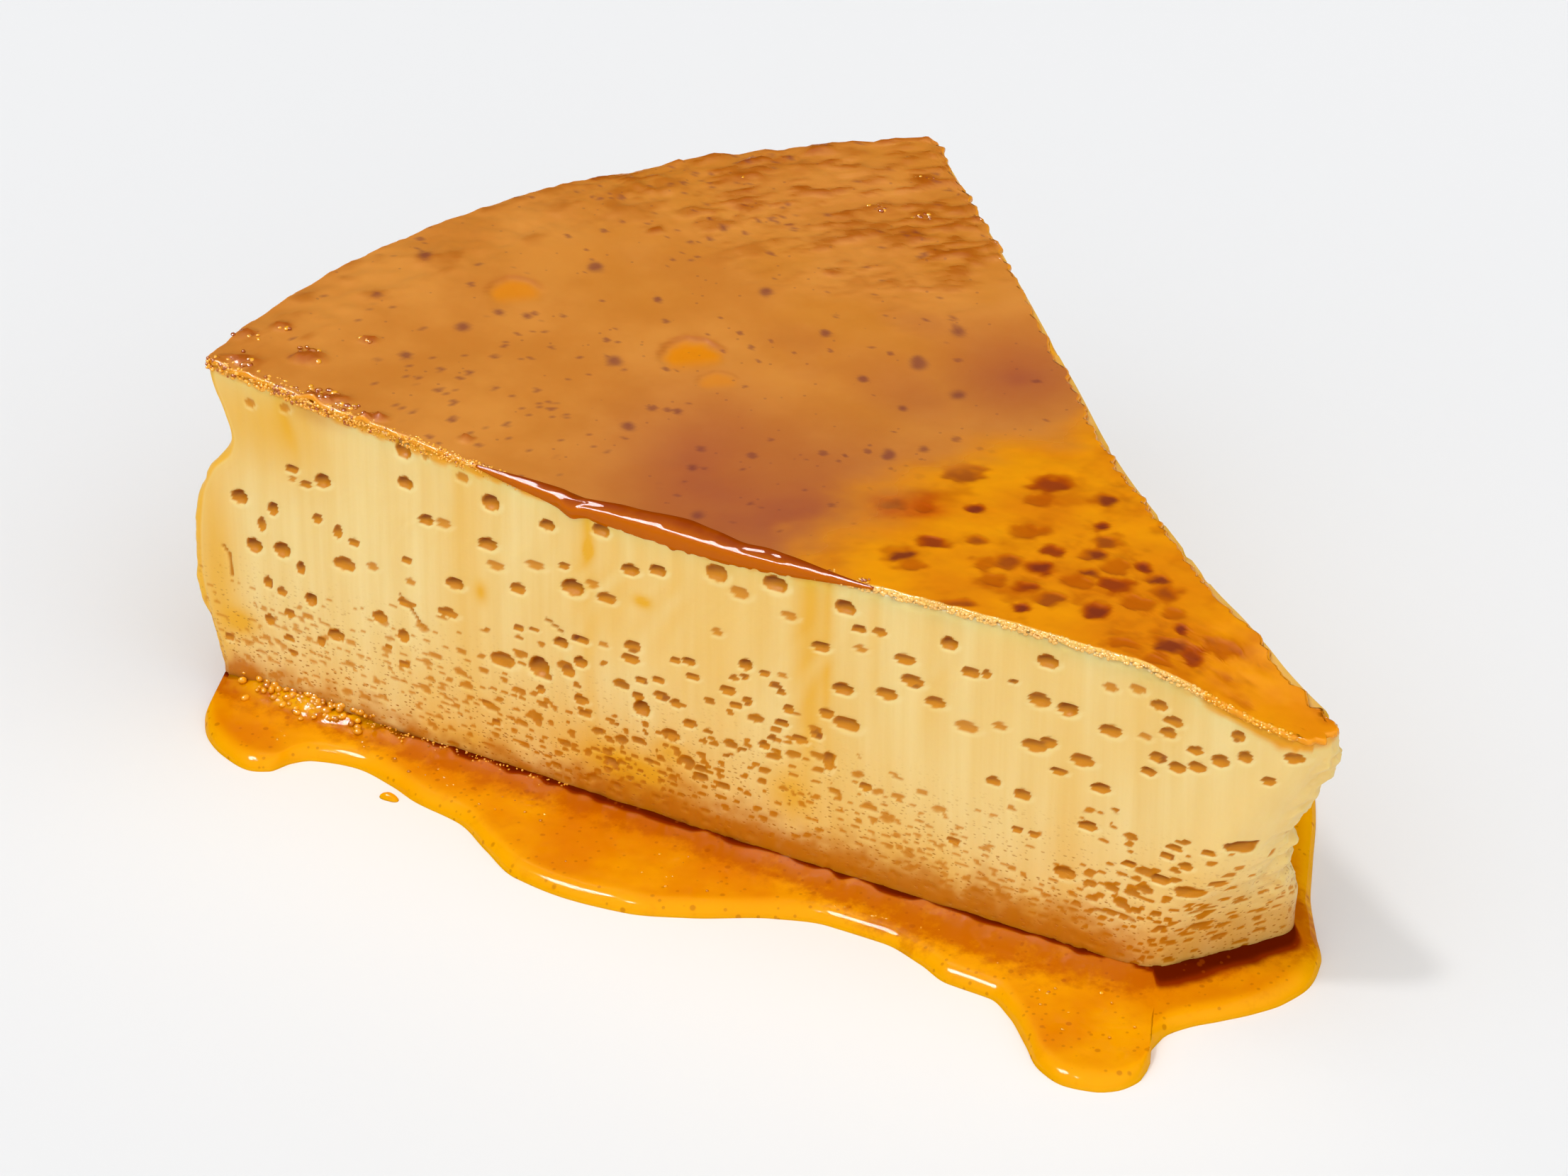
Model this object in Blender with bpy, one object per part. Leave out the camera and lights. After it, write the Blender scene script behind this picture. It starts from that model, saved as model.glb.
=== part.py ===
"""A wedge of creme caramel: one eighth of a round flan, lying in its own caramel sauce.

Three solids: the custard, the caramel layer that runs over its top, and the pool of sauce it
stands in.  Lengths at the top are in millimetres and are turned into metres as the meshes are made.
Flan frame: the centre of the round flan is at x = y = 0, one cut face runs from there along -X,
and the other cut runs back at WEDGE_DEG from it.  The table is z = 0.
"""

import bmesh
import bpy
import numpy as np

MM = 0.001

# ---- the slice -------------------------------------------------------------------------------
WEDGE_DEG = 44.3  # angle between the two cuts, about an eighth of the flan
FRONT_CUT_Y = -1.2  # where the near cut lies, just outside the flan's centre line
CORNER_RADIUS = 1.6  # where a cut meets the outer wall
SAUCE_FILM = 0.8  # sauce left under the slice
GAP = 0.3  # clearance between solids that touch
LAYER = 1.4  # caramel layer on top
EDGE_ROUND = 0.6  # rounding of the layer's upper edge
CUSTARD_FOOT = SAUCE_FILM + GAP

# Height above the table, and the outer wall's radius there: narrow foot, belly, groove, lip.
WALL_PROFILE = [
    (0, 111.6), (3, 111.6), (6, 112.2), (9, 113.2), (13, 113.8), (17, 113.6), (21, 113.0),
    (24, 111.6), (26.5, 109.3), (28, 108.9), (30.5, 109.5), (33, 110.5), (36, 111.2),
]
WALL_BOW = 4.1  # how much further the outer wall stands out halfway between its corners
NEAR_SPREAD = 2.0  # and how much further at the near corner than at the far one

# Height, radius of the blunt tip, and how far the far cut's line passes outside the centre.
TIP_PROFILE = [
    (0, 8.0, 3.5), (3, 8.0, 3.5), (6.5, 7.6, 3.3), (9, 7.0, 2.3), (12, 6.0, 1.3), (16, 5.5, 1.3),
    (20, 5.0, 2.0), (24, 4.0, 2.3), (28, 2.8, 1.8), (36, 2.4, 1.3),
]

# The foot of the tip is worn back to a facet that faces FACET_FACES and fades out further up:
# height, and how far the facet lies from the flan's centre.
FACET_FACES = -36
FACET_ROUND = 0.5
FACET_PROFILE = [(0, -12.2), (4, -11.8), (8, -10.2), (12, -7.2), (16, -3.5), (20, 1.0), (36, 6.0)]

# How far the outer end of the far cut lies inside the line it starts on, at foot and top; then
# the share of the cut's length from the tip, and how far it is hollowed there.
FAR_TURN_FOOT, FAR_TURN_TOP = 0.5, 2.2
FAR_HOLLOW_FOOT = [(0, 0.0), (0.25, 0.5), (0.5, 0.8), (0.8, 0.5), (1, 0.0)]
FAR_HOLLOW_TOP = [(0, 0.0), (0.08, 2.3), (0.2, 4.0), (0.35, 4.0), (0.6, 1.6), (0.8, 0.45), (1, 0.0)]
NEAR_SWELL = 0.7  # how far the near cut swells outwards at half height

# Distance from the flan's centre, and the height of the top there: raised rim, shallow dip,
# drooping tip.
TOP_PROFILE = [
    (0, 29.0), (5, 29.5), (9, 30.3), (13, 31.3), (18, 32.0), (28, 32.1), (43, 31.8), (57, 31.2),
    (65, 31.2), (79, 32.2), (91, 33.4), (100, 34.2), (108, 35.1), (113, 35.5), (122, 35.6),
]

# ---- the sauce -------------------------------------------------------------------------------
POOL_DEPTH = 1.3  # sauce away from its edges
POOL_EDGE_WIDTH = 1.7  # over which the rounded edge rises to that depth
MENISCUS = 1.0  # how far the sauce climbs up the slice
MENISCUS_WIDTH = 1.4

# Sections of the slice's outline, in order: 0 near cut, 1 tip, 2 far cut, 3 far corner,
# 4 outer wall, 5 near corner.  A station is a section's number plus the share of its length.
# For each station: the point of the sauce's outer edge that lies opposite it.
POOL_EDGE = [
    (0.00, -111.4, -6.4), (0.03, -109.4, -8.7), (0.06, -106.2, -10.6), (0.09, -102.8, -11.5),
    (0.11, -100.7, -10.6), (0.12, -99.9, -8.6), (0.14, -98.4, -7.1), (0.18, -94.0, -6.1),
    (0.22, -89.6, -7.0), (0.26, -86.0, -8.2), (0.31, -80.8, -9.1), (0.36, -76.0, -11.7),
    (0.41, -71.2, -14.1), (0.46, -66.2, -14.6), (0.52, -60.0, -13.9), (0.58, -54.4, -11.6),
    (0.64, -48.2, -8.0), (0.69, -43.4, -6.5), (0.75, -38.0, -6.4), (0.80, -33.6, -7.6),
    (0.84, -30.0, -9.0), (0.88, -26.0, -9.1), (0.905, -23.2, -10.7), (0.93, -20.0, -13.7),
    (0.95, -17.4, -16.2), (0.965, -14.6, -17.2), (0.98, -12.0, -16.7), (0.99, -10.1, -15.2),
    (1.00, -9.4, -13.2), (1.015, -9.7, -11.0), (1.035, -10.6, -9.0), (1.06, -10.6, -7.0),
    (1.10, -9.6, -4.6), (1.17, -7.6, -2.2), (1.27, -5.5, 0.4), (1.40, -4.0, 3.0),
    (1.55, -3.2, 6.4), (1.75, -3.9, 10.2), (1.92, -5.9, 13.6), (2.05, -8.7, 18.4),
    (2.12, -11.4, 24.6), (2.19, -14.2, 31.2), (2.26, -17.8, 38.0), (2.34, -23.2, 45.0),
    (2.43, -30.6, 51.8), (2.53, -39.4, 57.6), (2.64, -48.8, 63.6), (2.76, -58.4, 70.6),
    (2.88, -67.4, 77.6), (2.97, -74.4, 82.4), (3.40, -78.8, 83.4), (3.85, -82.0, 81.0),
    (4.05, -85.6, 77.2), (4.20, -95.0, 67.4), (4.40, -105.8, 52.0), (4.60, -112.8, 35.0),
    (4.80, -115.8, 17.8), (4.94, -115.4, 5.4), (5.10, -114.4, 1.2), (5.35, -114.0, -0.5),
    (5.60, -113.3, -2.0), (5.85, -112.4, -4.2),
]

# ---- colours ---------------------------------------------------------------------------------
CUSTARD_COLOUR = (0.82, 0.62, 0.29)
CARAMEL_COLOUR = (0.62, 0.25, 0.045)
SAUCE_COLOUR = (0.68, 0.29, 0.02)


def smooth_curve(points, at, period=None):
    """Smooth values at the places asked for, through (place, value) points.

    Each stretch is a cubic that never runs past its ends: the slope at a point is the harmonic
    mean of the slopes on either side, and level at a peak.  With a period, the curve closes on
    itself.
    """
    x, y = (np.array(v, float) for v in zip(*points))
    if period:
        x = np.concatenate([x[-2:] - period, x, x[:2] + period])
        y = np.concatenate([y[-2:], y, y[:2]])
        at = np.mod(at - x[2], period) + x[2]
    step = np.diff(y) / np.diff(x)
    before, after = step[:-1], step[1:]
    mean = 2 * np.maximum(before * after, 0) / (np.abs(before + after) + 1e-12)
    slope = np.concatenate([step[:1], mean * np.sign(after), step[-1:]])
    at = np.clip(at, x[0], x[-1])
    i = np.clip(np.searchsorted(x, at, side="right") - 1, 0, len(x) - 2)
    width = x[i + 1] - x[i]
    t = (at - x[i]) / width
    return (
        y[i] * (1 + 2 * t) * (1 - t) ** 2
        + y[i + 1] * t**2 * (3 - 2 * t)
        + slope[i] * width * t * (1 - t) ** 2
        - slope[i + 1] * width * t**2 * (1 - t)
    )


def direction(degrees):
    """Unit vector in the plane, as two arrays."""
    angle = np.radians(degrees)
    return np.array([np.cos(angle), np.sin(angle)])


FAR_ALONG = direction(180 - WEDGE_DEG)  # along the far cut, away from the tip
FAR_OUT = direction(90 - WEDGE_DEG)  # out of the far cut
FACET_OUT = direction(FACET_FACES)


def arc(centre, radius, start, end, share):
    angle = np.radians(start + (end - start) * share)
    return np.stack(
        [centre[0] + radius * np.cos(angle), centre[1] + radius * np.sin(angle)], -1
    )


def slice_outline(z, stations):
    """Plan of the slice at height z, at each station: a rounded sector with a bowed outer wall."""
    wall = smooth_curve(WALL_PROFILE, z)
    tip = smooth_curve([(h, r) for h, r, _ in TIP_PROFILE], z)
    far = smooth_curve([(h, d) for h, _, d in TIP_PROFILE], z)
    corner = CORNER_RADIUS

    # Centres of the three rounded corners.
    tip_y = FRONT_CUT_Y + tip
    tip_centre = np.array([(far - tip - FAR_OUT[1] * tip_y) / FAR_OUT[0], tip_y])
    near_in = wall + NEAR_SPREAD - corner
    near_y = FRONT_CUT_Y + corner
    near_centre = np.array([-np.sqrt(near_in**2 - near_y**2), near_y])
    high = np.clip(z / TOP_PROFILE[-1][1], 0, 1)
    far_in = far - corner - (1 - high) * FAR_TURN_FOOT - high * FAR_TURN_TOP
    far_centre = far_in * FAR_OUT + np.sqrt((wall - corner) ** 2 - far_in**2) * FAR_ALONG

    # Ends of the straight cuts.
    near_end = near_centre + [0, -corner]
    near_tip = tip_centre + [0, -tip]
    far_tip = tip_centre + tip * FAR_OUT
    far_end = far_centre + corner * FAR_OUT
    near_angle = np.degrees(np.arctan2(near_centre[1], near_centre[0]))
    far_angle = np.degrees(np.arctan2(far_centre[1], far_centre[0]))

    section = np.floor(stations).astype(int)
    share = (stations - section)[:, None]
    s = stations - section
    swell = NEAR_SWELL * np.sin(np.pi * s) * np.sin(np.pi * high)
    hollow = (1 - high) * smooth_curve(FAR_HOLLOW_FOOT, s) + high * smooth_curve(
        FAR_HOLLOW_TOP, s
    )
    spread = WALL_BOW * np.sin(np.pi * s) + NEAR_SPREAD * s

    near_cut = near_end * (1 - share) + near_tip * share
    near_cut = near_cut + np.stack([np.zeros_like(s), -swell], -1)
    tip_arc = arc(tip_centre, tip, -90, 90 - WEDGE_DEG, s)
    far_cut = far_tip * (1 - share) + far_end * share - hollow[:, None] * FAR_OUT
    far_corner = arc(far_centre, corner, 90 - WEDGE_DEG, far_angle, s)
    wall_arc = arc((0, 0), wall, far_angle, near_angle, s)
    wall_arc = wall_arc * (1 + spread / wall)[:, None]
    near_corner = arc(near_centre, corner, near_angle, 270, s)

    pieces = [near_cut, tip_arc, far_cut, far_corner, wall_arc, near_corner]
    plan = np.choose(section[:, None], pieces)
    past = (plan @ FACET_OUT - smooth_curve(FACET_PROFILE, z)) / FACET_ROUND
    return plan - FACET_ROUND * np.logaddexp(0, past)[:, None] * FACET_OUT


def top_height(plan):
    """Height of the slice's top over points of the plan."""
    return smooth_curve(TOP_PROFILE, np.hypot(plan[:, 0], plan[:, 1]))


def stations_of(counts):
    """Evenly spread stations, so many in each section."""
    return np.concatenate([n + np.arange(count) / count for n, count in enumerate(counts)])


def outward(loop):
    """Unit normals of a closed loop that runs anticlockwise."""
    along = np.roll(loop, -1, 0) - np.roll(loop, 1, 0)
    along /= np.linalg.norm(along, axis=1, keepdims=True)
    return np.stack([along[:, 1], -along[:, 0]], -1)


def at_height(plan, z):
    """Plan points given a height, which is one number or one for each point."""
    return np.column_stack([plan, np.broadcast_to(z, len(plan))])


def loft(name, rings, colour, roughness):
    """A closed solid through rings of points, each with a fan to the middle of the first and last."""
    mesh = bmesh.new()
    loops = [[mesh.verts.new(point * MM) for point in ring] for ring in rings]
    for lower, upper in zip(loops, loops[1:]):
        for i, corner in enumerate(lower):
            before = i - 1
            mesh.faces.new([lower[before], corner, upper[i], upper[before]])
    for loop, ring in ((loops[0], rings[0]), (loops[-1], rings[-1])):
        middle = mesh.verts.new(ring.mean(0) * MM)
        for i, corner in enumerate(loop):
            mesh.faces.new([loop[i - 1], corner, middle])
    bmesh.ops.triangulate(mesh, faces=mesh.faces[:])
    bmesh.ops.recalc_face_normals(mesh, faces=mesh.faces[:])
    data = bpy.data.meshes.new(name)
    mesh.to_mesh(data)
    mesh.free()
    data.shade_smooth()
    data.set_sharp_from_angle(angle=np.radians(40))
    data.materials.append(material(name, colour, roughness))
    made = bpy.data.objects.new(name, data)
    bpy.context.scene.collection.objects.link(made)
    return made


def material(name, colour, roughness):
    made = bpy.data.materials.new(name)
    made.use_nodes = True
    shader = made.node_tree.nodes["Principled BSDF"]
    shader.inputs["Base Color"].default_value = (*colour, 1)
    shader.inputs["Roughness"].default_value = roughness
    shader.inputs["Metallic"].default_value = 0.0
    return made


SLICE_STATIONS = stations_of((24, 12, 22, 3, 18, 3))
CAP_SHARES = (0.96, 0.9, 0.8, 0.6, 0.36, 0.14)  # rings inside the outline that carry the top's curve


def cap(edge, height, inset=0.0):
    """Rings from an edge towards its middle, lying on a curved top."""
    middle = edge.mean(0)
    rings = [edge - outward(edge) * inset] if inset else []
    rings += [middle + (edge - middle) * share for share in CAP_SHARES]
    return [at_height(ring, height(ring)) for ring in rings]


def custard():
    """The body, from its flat foot up to the underside of the caramel layer."""

    def height(plan):
        return top_height(plan) - LAYER - GAP

    edge = slice_outline(TOP_PROFILE[-1][1] - LAYER, SLICE_STATIONS)
    rim = height(edge)
    rings = []
    for share in np.linspace(0, 1, 13):
        level = CUSTARD_FOOT + (rim - CUSTARD_FOOT) * share
        # Every point of a ring is at its own height, so each one is read from its own outline.
        plan = np.array(
            [slice_outline(z, s[None])[0] for z, s in zip(level, SLICE_STATIONS)]
        )
        rings.append(at_height(plan, level))
    rings += cap(rings[-1][:, :2], height)
    return loft("custard", rings, CUSTARD_COLOUR, 0.35)


def caramel_top():
    """The thin layer over the custard, with a rounded upper edge."""

    def under(plan):
        return top_height(plan) - LAYER

    edge = slice_outline(TOP_PROFILE[-1][1], SLICE_STATIONS)
    rings = cap(edge, under)[::-1]
    rings.append(at_height(edge, under(edge)))
    rings.append(at_height(edge, top_height(edge) - EDGE_ROUND))
    rings += cap(edge, top_height, inset=EDGE_ROUND)
    return loft("caramel_top", rings, CARAMEL_COLOUR, 0.2)


def pool_plan(stations):
    """The slice's foot and the sauce's outer edge, matched station by station."""
    foot = slice_outline(CUSTARD_FOOT, stations)
    edge = [smooth_curve([(p[0], p[axis]) for p in POOL_EDGE], stations, period=6) for axis in (1, 2)]
    return foot + outward(foot) * (GAP + 0.05), np.stack(edge, -1)


def caramel_pool():
    """The sauce: a film under the slice, a meniscus round its foot and a rounded outer edge."""
    stations = stations_of((74, 30, 30, 4, 18, 5))
    foot, edge = pool_plan(stations)
    rings = [at_height(foot, 0.0), at_height(edge, 0.0)]
    for share in (0.02, 0.06, 0.14, 0.3, 0.55, 0.8, 0.93, 1.0):
        plan = edge + (foot - edge) * share
        from_edge = np.linalg.norm(plan - edge, axis=1)
        from_slice = np.linalg.norm(plan - foot, axis=1)
        rise = 1 - np.clip(from_edge / POOL_EDGE_WIDTH, 0, 1)
        depth = POOL_DEPTH * np.sqrt(1 - rise**2)
        climb = MENISCUS * np.exp(-from_slice / MENISCUS_WIDTH)
        rings.append(at_height(plan, depth + climb * depth / POOL_DEPTH))
    rings.append(at_height(foot, SAUCE_FILM))
    return loft("caramel_pool", rings, SAUCE_COLOUR, 0.08)


def main():
    for old in list(bpy.data.objects):
        bpy.data.objects.remove(old)
    pieces = [custard(), caramel_top(), caramel_pool()]
    # The row's origin is the middle of the whole thing's footprint, on the table.
    corners = np.array([c for piece in pieces for c in piece.bound_box])
    middle = (corners.min(0) + corners.max(0)) / 2
    centre = bpy.data.objects.new("slice_centre", None)
    bpy.context.scene.collection.objects.link(centre)
    centre.location = (-middle[0], -middle[1], 0)
    for piece in pieces:
        piece.parent = centre
    print("flan centre lies at", [round(-v / MM, 2) for v in middle[:2]], "mm")


main()
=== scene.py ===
import bpy
import numpy as np
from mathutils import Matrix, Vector


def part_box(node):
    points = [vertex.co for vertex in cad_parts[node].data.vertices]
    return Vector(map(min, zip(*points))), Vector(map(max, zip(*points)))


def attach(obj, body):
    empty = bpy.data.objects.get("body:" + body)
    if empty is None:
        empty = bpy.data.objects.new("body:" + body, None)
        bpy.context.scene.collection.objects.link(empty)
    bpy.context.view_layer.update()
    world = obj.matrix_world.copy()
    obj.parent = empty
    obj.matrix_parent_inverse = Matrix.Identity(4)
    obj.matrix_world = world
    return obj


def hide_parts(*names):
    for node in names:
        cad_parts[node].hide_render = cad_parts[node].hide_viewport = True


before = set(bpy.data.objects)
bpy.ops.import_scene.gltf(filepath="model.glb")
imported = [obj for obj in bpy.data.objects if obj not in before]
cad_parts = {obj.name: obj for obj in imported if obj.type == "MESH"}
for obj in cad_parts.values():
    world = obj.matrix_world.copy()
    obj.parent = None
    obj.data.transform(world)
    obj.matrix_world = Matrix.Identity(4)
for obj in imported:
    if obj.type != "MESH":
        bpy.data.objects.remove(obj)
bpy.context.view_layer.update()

# Creme caramel slice, dressed for a studio shot.
# Lengths are in millimetres until a mesh is made.  The flan frame has the centre of the whole
# flan at x = y = 0, the near cut running from there along -x, and the table at z = 0.
mm = 0.001
print("frame loaded:", ", ".join(sorted(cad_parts)))

wedge = {
    "angle": 44.3,  # degrees between the two cuts
    "nearCutY": -1.2,
    "cornerRadius": 1.3,
    "wallBow": 4.1,
    "nearSpread": 2.0,
    "farTurnFoot": 0.5,
    "farTurnTop": 2.2,
    "nearSwell": 0.7,
    "facetFaces": -36,
    "facetRound": 1.3,
    "foot": 1.1,  # the custard starts this high, in the sauce
    "crust": 0.35,  # thickness of the caramel-soaked top where it shows at a cut
    # height and radius of the outer wall
    "wall": [(0, 111.6), (3, 111.6), (6, 112.2), (9, 113.2), (13, 113.8), (17, 113.6),
             (21, 113.0), (24, 111.6), (26.5, 109.3), (28, 108.9), (30.5, 109.5),
             (33, 110.5), (36, 111.2)],
    # height, radius of the blunt tip, offset of the far cut
    "tip": [(0, 8.0, 3.5), (3, 8.0, 3.5), (6.5, 7.6, 3.3), (9, 7.0, 2.3), (12, 6.0, 1.3),
            (16, 5.5, 1.3), (20, 5.0, 2.0), (24, 4.0, 2.3), (28, 2.8, 1.8), (36, 2.4, 1.3)],
    # height and distance of the worn facet at the foot of the tip
    "facet": [(0, -12.2), (4, -11.8), (8, -10.2), (12, -7.2), (16, -3.5), (20, 1.0), (36, 6.0)],
    # share of the far cut's length and how far it is hollowed there
    "hollowFoot": [(0, 0.0), (0.25, 0.5), (0.5, 0.8), (0.8, 0.5), (1, 0.0)],
    "hollowTop": [(0, 0.0), (0.08, 2.3), (0.2, 4.0), (0.35, 4.0), (0.6, 1.6), (0.8, 0.45),
                  (1, 0.0)],
    # distance from the flan's centre and height of the top there
    "top": [(0, 29.0), (5, 29.5), (9, 30.3), (13, 31.3), (18, 32.0), (28, 32.1), (43, 31.8),
            (57, 31.2), (65, 31.2), (79, 32.2), (91, 33.4), (100, 34.2), (108, 35.1),
            (113, 35.5), (122, 35.6)],
}

sauce = {
    "depth": 1.3,
    "edgeWidth": 1.7,
    "film": 0.8,  # under the slice
    "climb": 1.0,  # up the slice
    "climbWidth": 1.4,
    # station on the slice's outline, and the point of the sauce's edge that lies opposite it
    "edge": [
        (0.00, -111.4, -6.4), (0.03, -109.4, -8.7), (0.06, -106.2, -10.6), (0.09, -102.8, -11.5),
        (0.11, -100.7, -10.6), (0.12, -99.9, -8.6), (0.14, -98.4, -7.1), (0.18, -94.0, -6.1),
        (0.22, -89.6, -7.0), (0.26, -86.0, -8.2), (0.31, -80.8, -9.1), (0.36, -76.0, -11.7),
        (0.41, -71.2, -14.1), (0.46, -66.2, -14.6), (0.52, -60.0, -13.9), (0.58, -54.4, -11.6),
        (0.64, -48.2, -8.0), (0.69, -43.4, -6.5), (0.75, -38.0, -6.4), (0.80, -33.6, -7.6),
        (0.84, -30.0, -9.0), (0.88, -26.0, -9.1), (0.905, -23.2, -10.7), (0.93, -20.0, -13.7),
        (0.95, -17.4, -16.2), (0.965, -14.6, -17.2), (0.98, -12.0, -16.7), (0.99, -10.1, -15.2),
        (1.00, -9.4, -13.2), (1.015, -9.7, -11.0), (1.035, -10.6, -9.0), (1.06, -10.6, -7.0),
        (1.10, -9.6, -4.6), (1.17, -7.6, -2.2), (1.27, -5.5, 0.4), (1.40, -4.0, 3.0),
        (1.55, -3.2, 6.4), (1.75, -3.9, 10.2), (1.92, -5.9, 13.6), (2.05, -8.7, 18.4),
        (2.12, -11.4, 24.6), (2.19, -14.2, 31.2), (2.26, -17.8, 38.0), (2.34, -23.2, 45.0),
        (2.43, -30.6, 51.8), (2.53, -39.4, 57.6), (2.64, -48.8, 63.6), (2.76, -58.4, 70.6),
        (2.88, -67.4, 77.6), (2.97, -74.4, 82.4), (3.40, -78.8, 83.4), (3.85, -82.0, 81.0),
        (4.05, -85.6, 77.2), (4.20, -95.0, 67.4), (4.40, -105.8, 52.0), (4.60, -112.8, 35.0),
        (4.80, -115.8, 17.8), (4.94, -115.4, 5.4), (5.10, -114.4, 1.2), (5.35, -114.0, -0.5),
        (5.60, -113.3, -2.0), (5.85, -112.4, -4.2),
    ],
}


def smoothCurve(points, at, period=None):
    # Cubic through (place, value) points.  Slope at a point = harmonic mean of the slopes on
    # either side, level at a peak, so the curve never runs past its ends.
    x, y = (np.array(v, float) for v in zip(*points))
    if period:
        x = np.concatenate([x[-2:] - period, x, x[:2] + period])
        y = np.concatenate([y[-2:], y, y[:2]])
        at = np.mod(at - x[2], period) + x[2]
    step = np.diff(y) / np.diff(x)
    before, after = step[:-1], step[1:]
    mean = 2 * np.maximum(before * after, 0) / (np.abs(before + after) + 1e-12)
    slope = np.concatenate([step[:1], mean * np.sign(after), step[-1:]])
    at = np.clip(at, x[0], x[-1])
    i = np.clip(np.searchsorted(x, at, side="right") - 1, 0, len(x) - 2)
    width = x[i + 1] - x[i]
    t = (at - x[i]) / width
    return (y[i] * (1 + 2 * t) * (1 - t) ** 2 + y[i + 1] * t**2 * (3 - 2 * t)
            + slope[i] * width * t * (1 - t) ** 2 - slope[i + 1] * width * t**2 * (1 - t))


def heading(degrees):
    angle = np.radians(degrees)
    return np.cos(angle), np.sin(angle)


farAlong = heading(180 - wedge["angle"])
farOut = heading(90 - wedge["angle"])
facetOut = heading(wedge["facetFaces"])


def sliceOutline(z, stations):
    # Plan of the slice at heights z: a rounded sector.  Station = section (0 near cut, 1 tip,
    # 2 far cut, 3 far corner, 4 outer wall, 5 near corner) + share of that section's length.
    s0 = wedge
    corner = s0["cornerRadius"]
    wall = smoothCurve(s0["wall"], z)
    tip = smoothCurve([(h, r) for h, r, _ in s0["tip"]], z)
    far = smoothCurve([(h, d) for h, _, d in s0["tip"]], z)
    high = np.clip(z / s0["top"][-1][1], 0, 1)

    tipY = s0["nearCutY"] + tip
    tipX = (far - tip - farOut[1] * tipY) / farOut[0]
    nearIn = wall + s0["nearSpread"] - corner
    nearY = s0["nearCutY"] + corner + 0 * z
    nearX = -np.sqrt(nearIn**2 - nearY**2)
    farIn = far - corner - (1 - high) * s0["farTurnFoot"] - high * s0["farTurnTop"]
    reach = np.sqrt((wall - corner) ** 2 - farIn**2)
    farX = farIn * farOut[0] + reach * farAlong[0]
    farY = farIn * farOut[1] + reach * farAlong[1]
    nearAngle, farAngle = np.arctan2(nearY, nearX), np.arctan2(farY, farX)

    section = np.floor(stations).astype(int)
    s = stations - section
    swell = s0["nearSwell"] * np.sin(np.pi * s) * np.sin(np.pi * high)
    hollow = ((1 - high) * smoothCurve(s0["hollowFoot"], s)
              + high * smoothCurve(s0["hollowTop"], s))
    spread = s0["wallBow"] * np.sin(np.pi * s) + s0["nearSpread"] * s
    openAngle = np.radians(90 - s0["angle"])

    def arc(x, y, radius, start, end):
        angle = start + (end - start) * s
        return x + radius * np.cos(angle), y + radius * np.sin(angle)

    nearCut = (nearX * (1 - s) + tipX * s, s0["nearCutY"] - swell)
    tipArc = arc(tipX, tipY, tip, -np.pi / 2, openAngle)
    farCut = tuple(
        (cx + tip * o) * (1 - s) + (ex + corner * o) * s - hollow * o
        for cx, ex, o in ((tipX, farX, farOut[0]), (tipY, farY, farOut[1])))
    farCorner = arc(farX, farY, corner, openAngle, farAngle)
    outerWall = arc(0, 0, wall + spread, farAngle, nearAngle)
    nearCorner = arc(nearX, nearY, corner, nearAngle, 1.5 * np.pi)
    sections = (nearCut, tipArc, farCut, farCorner, outerWall, nearCorner)
    plan = np.stack([np.choose(section, [np.broadcast_to(p[k], s.shape) for p in sections])
                     for k in (0, 1)], -1)
    # the facet is a soft clamp: log(1 + e^past) grows only beyond its plane
    past = (plan @ facetOut - smoothCurve(s0["facet"], z) - 0.5) / s0["facetRound"]
    return plan - s0["facetRound"] * np.logaddexp(0, past)[..., None] * np.array(facetOut)


def topHeight(x, y):
    # height of the top = curve of the distance from the flan's centre
    return smoothCurve(wedge["top"], np.hypot(x, y))


def stationsOf(*counts):
    return np.concatenate([n + np.arange(c) / c for n, c in enumerate(counts)])


def outward(loops):
    # unit normals of closed plan loops that run anticlockwise: the tangent turned clockwise
    along = np.roll(loops, -1, -2) - np.roll(loops, 1, -2)
    along /= np.linalg.norm(along, axis=-1, keepdims=True) + 1e-12
    return np.stack([along[..., 1], -along[..., 0]], -1)


def hashed(i, j, seed):
    # one scattered number in 0..1 for each whole pair: fraction of a large sine
    s = np.sin(i * 127.1 + j * 311.7 + seed * 74.7) * 43758.5453
    return s - np.floor(s)


def noise(x, y, seed):
    # value noise, -1..1: hashed corners of a unit grid, blended with 3t^2 - 2t^3
    i, j = np.floor(x), np.floor(y)
    u, v = x - i, y - j
    u, v = u * u * (3 - 2 * u), v * v * (3 - 2 * v)
    low = hashed(i, j, seed) * (1 - u) + hashed(i + 1, j, seed) * u
    high = hashed(i, j + 1, seed) * (1 - u) + hashed(i + 1, j + 1, seed) * u
    return 2 * (low * (1 - v) + high * v) - 1


def layered(x, y, seed, octaves=4):
    # sum of noises, each twice as fine and half as strong
    total = sum(noise(x * 2**k, y * 2**k, seed + k) / 2**k for k in range(octaves))
    return total / 1.6


def smoothStep(low, high, value):
    t = np.clip((value - low) / (high - low), 0, 1)
    return t * t * (3 - 2 * t)


def bump(value, centre, width):
    return np.exp(-(((value - centre) / width) ** 2))


# where the flan frame lies in the row
poolStations = stationsOf(430, 110, 170, 12, 140, 24)
sauceEdge = np.stack([smoothCurve([(p[0], p[k]) for p in sauce["edge"]], poolStations, period=6)
                      for k in (1, 2)], -1)
shift = np.append(np.array(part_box("caramel_pool")[0][:2]) / mm - sauceEdge.min(0), 0)


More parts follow.
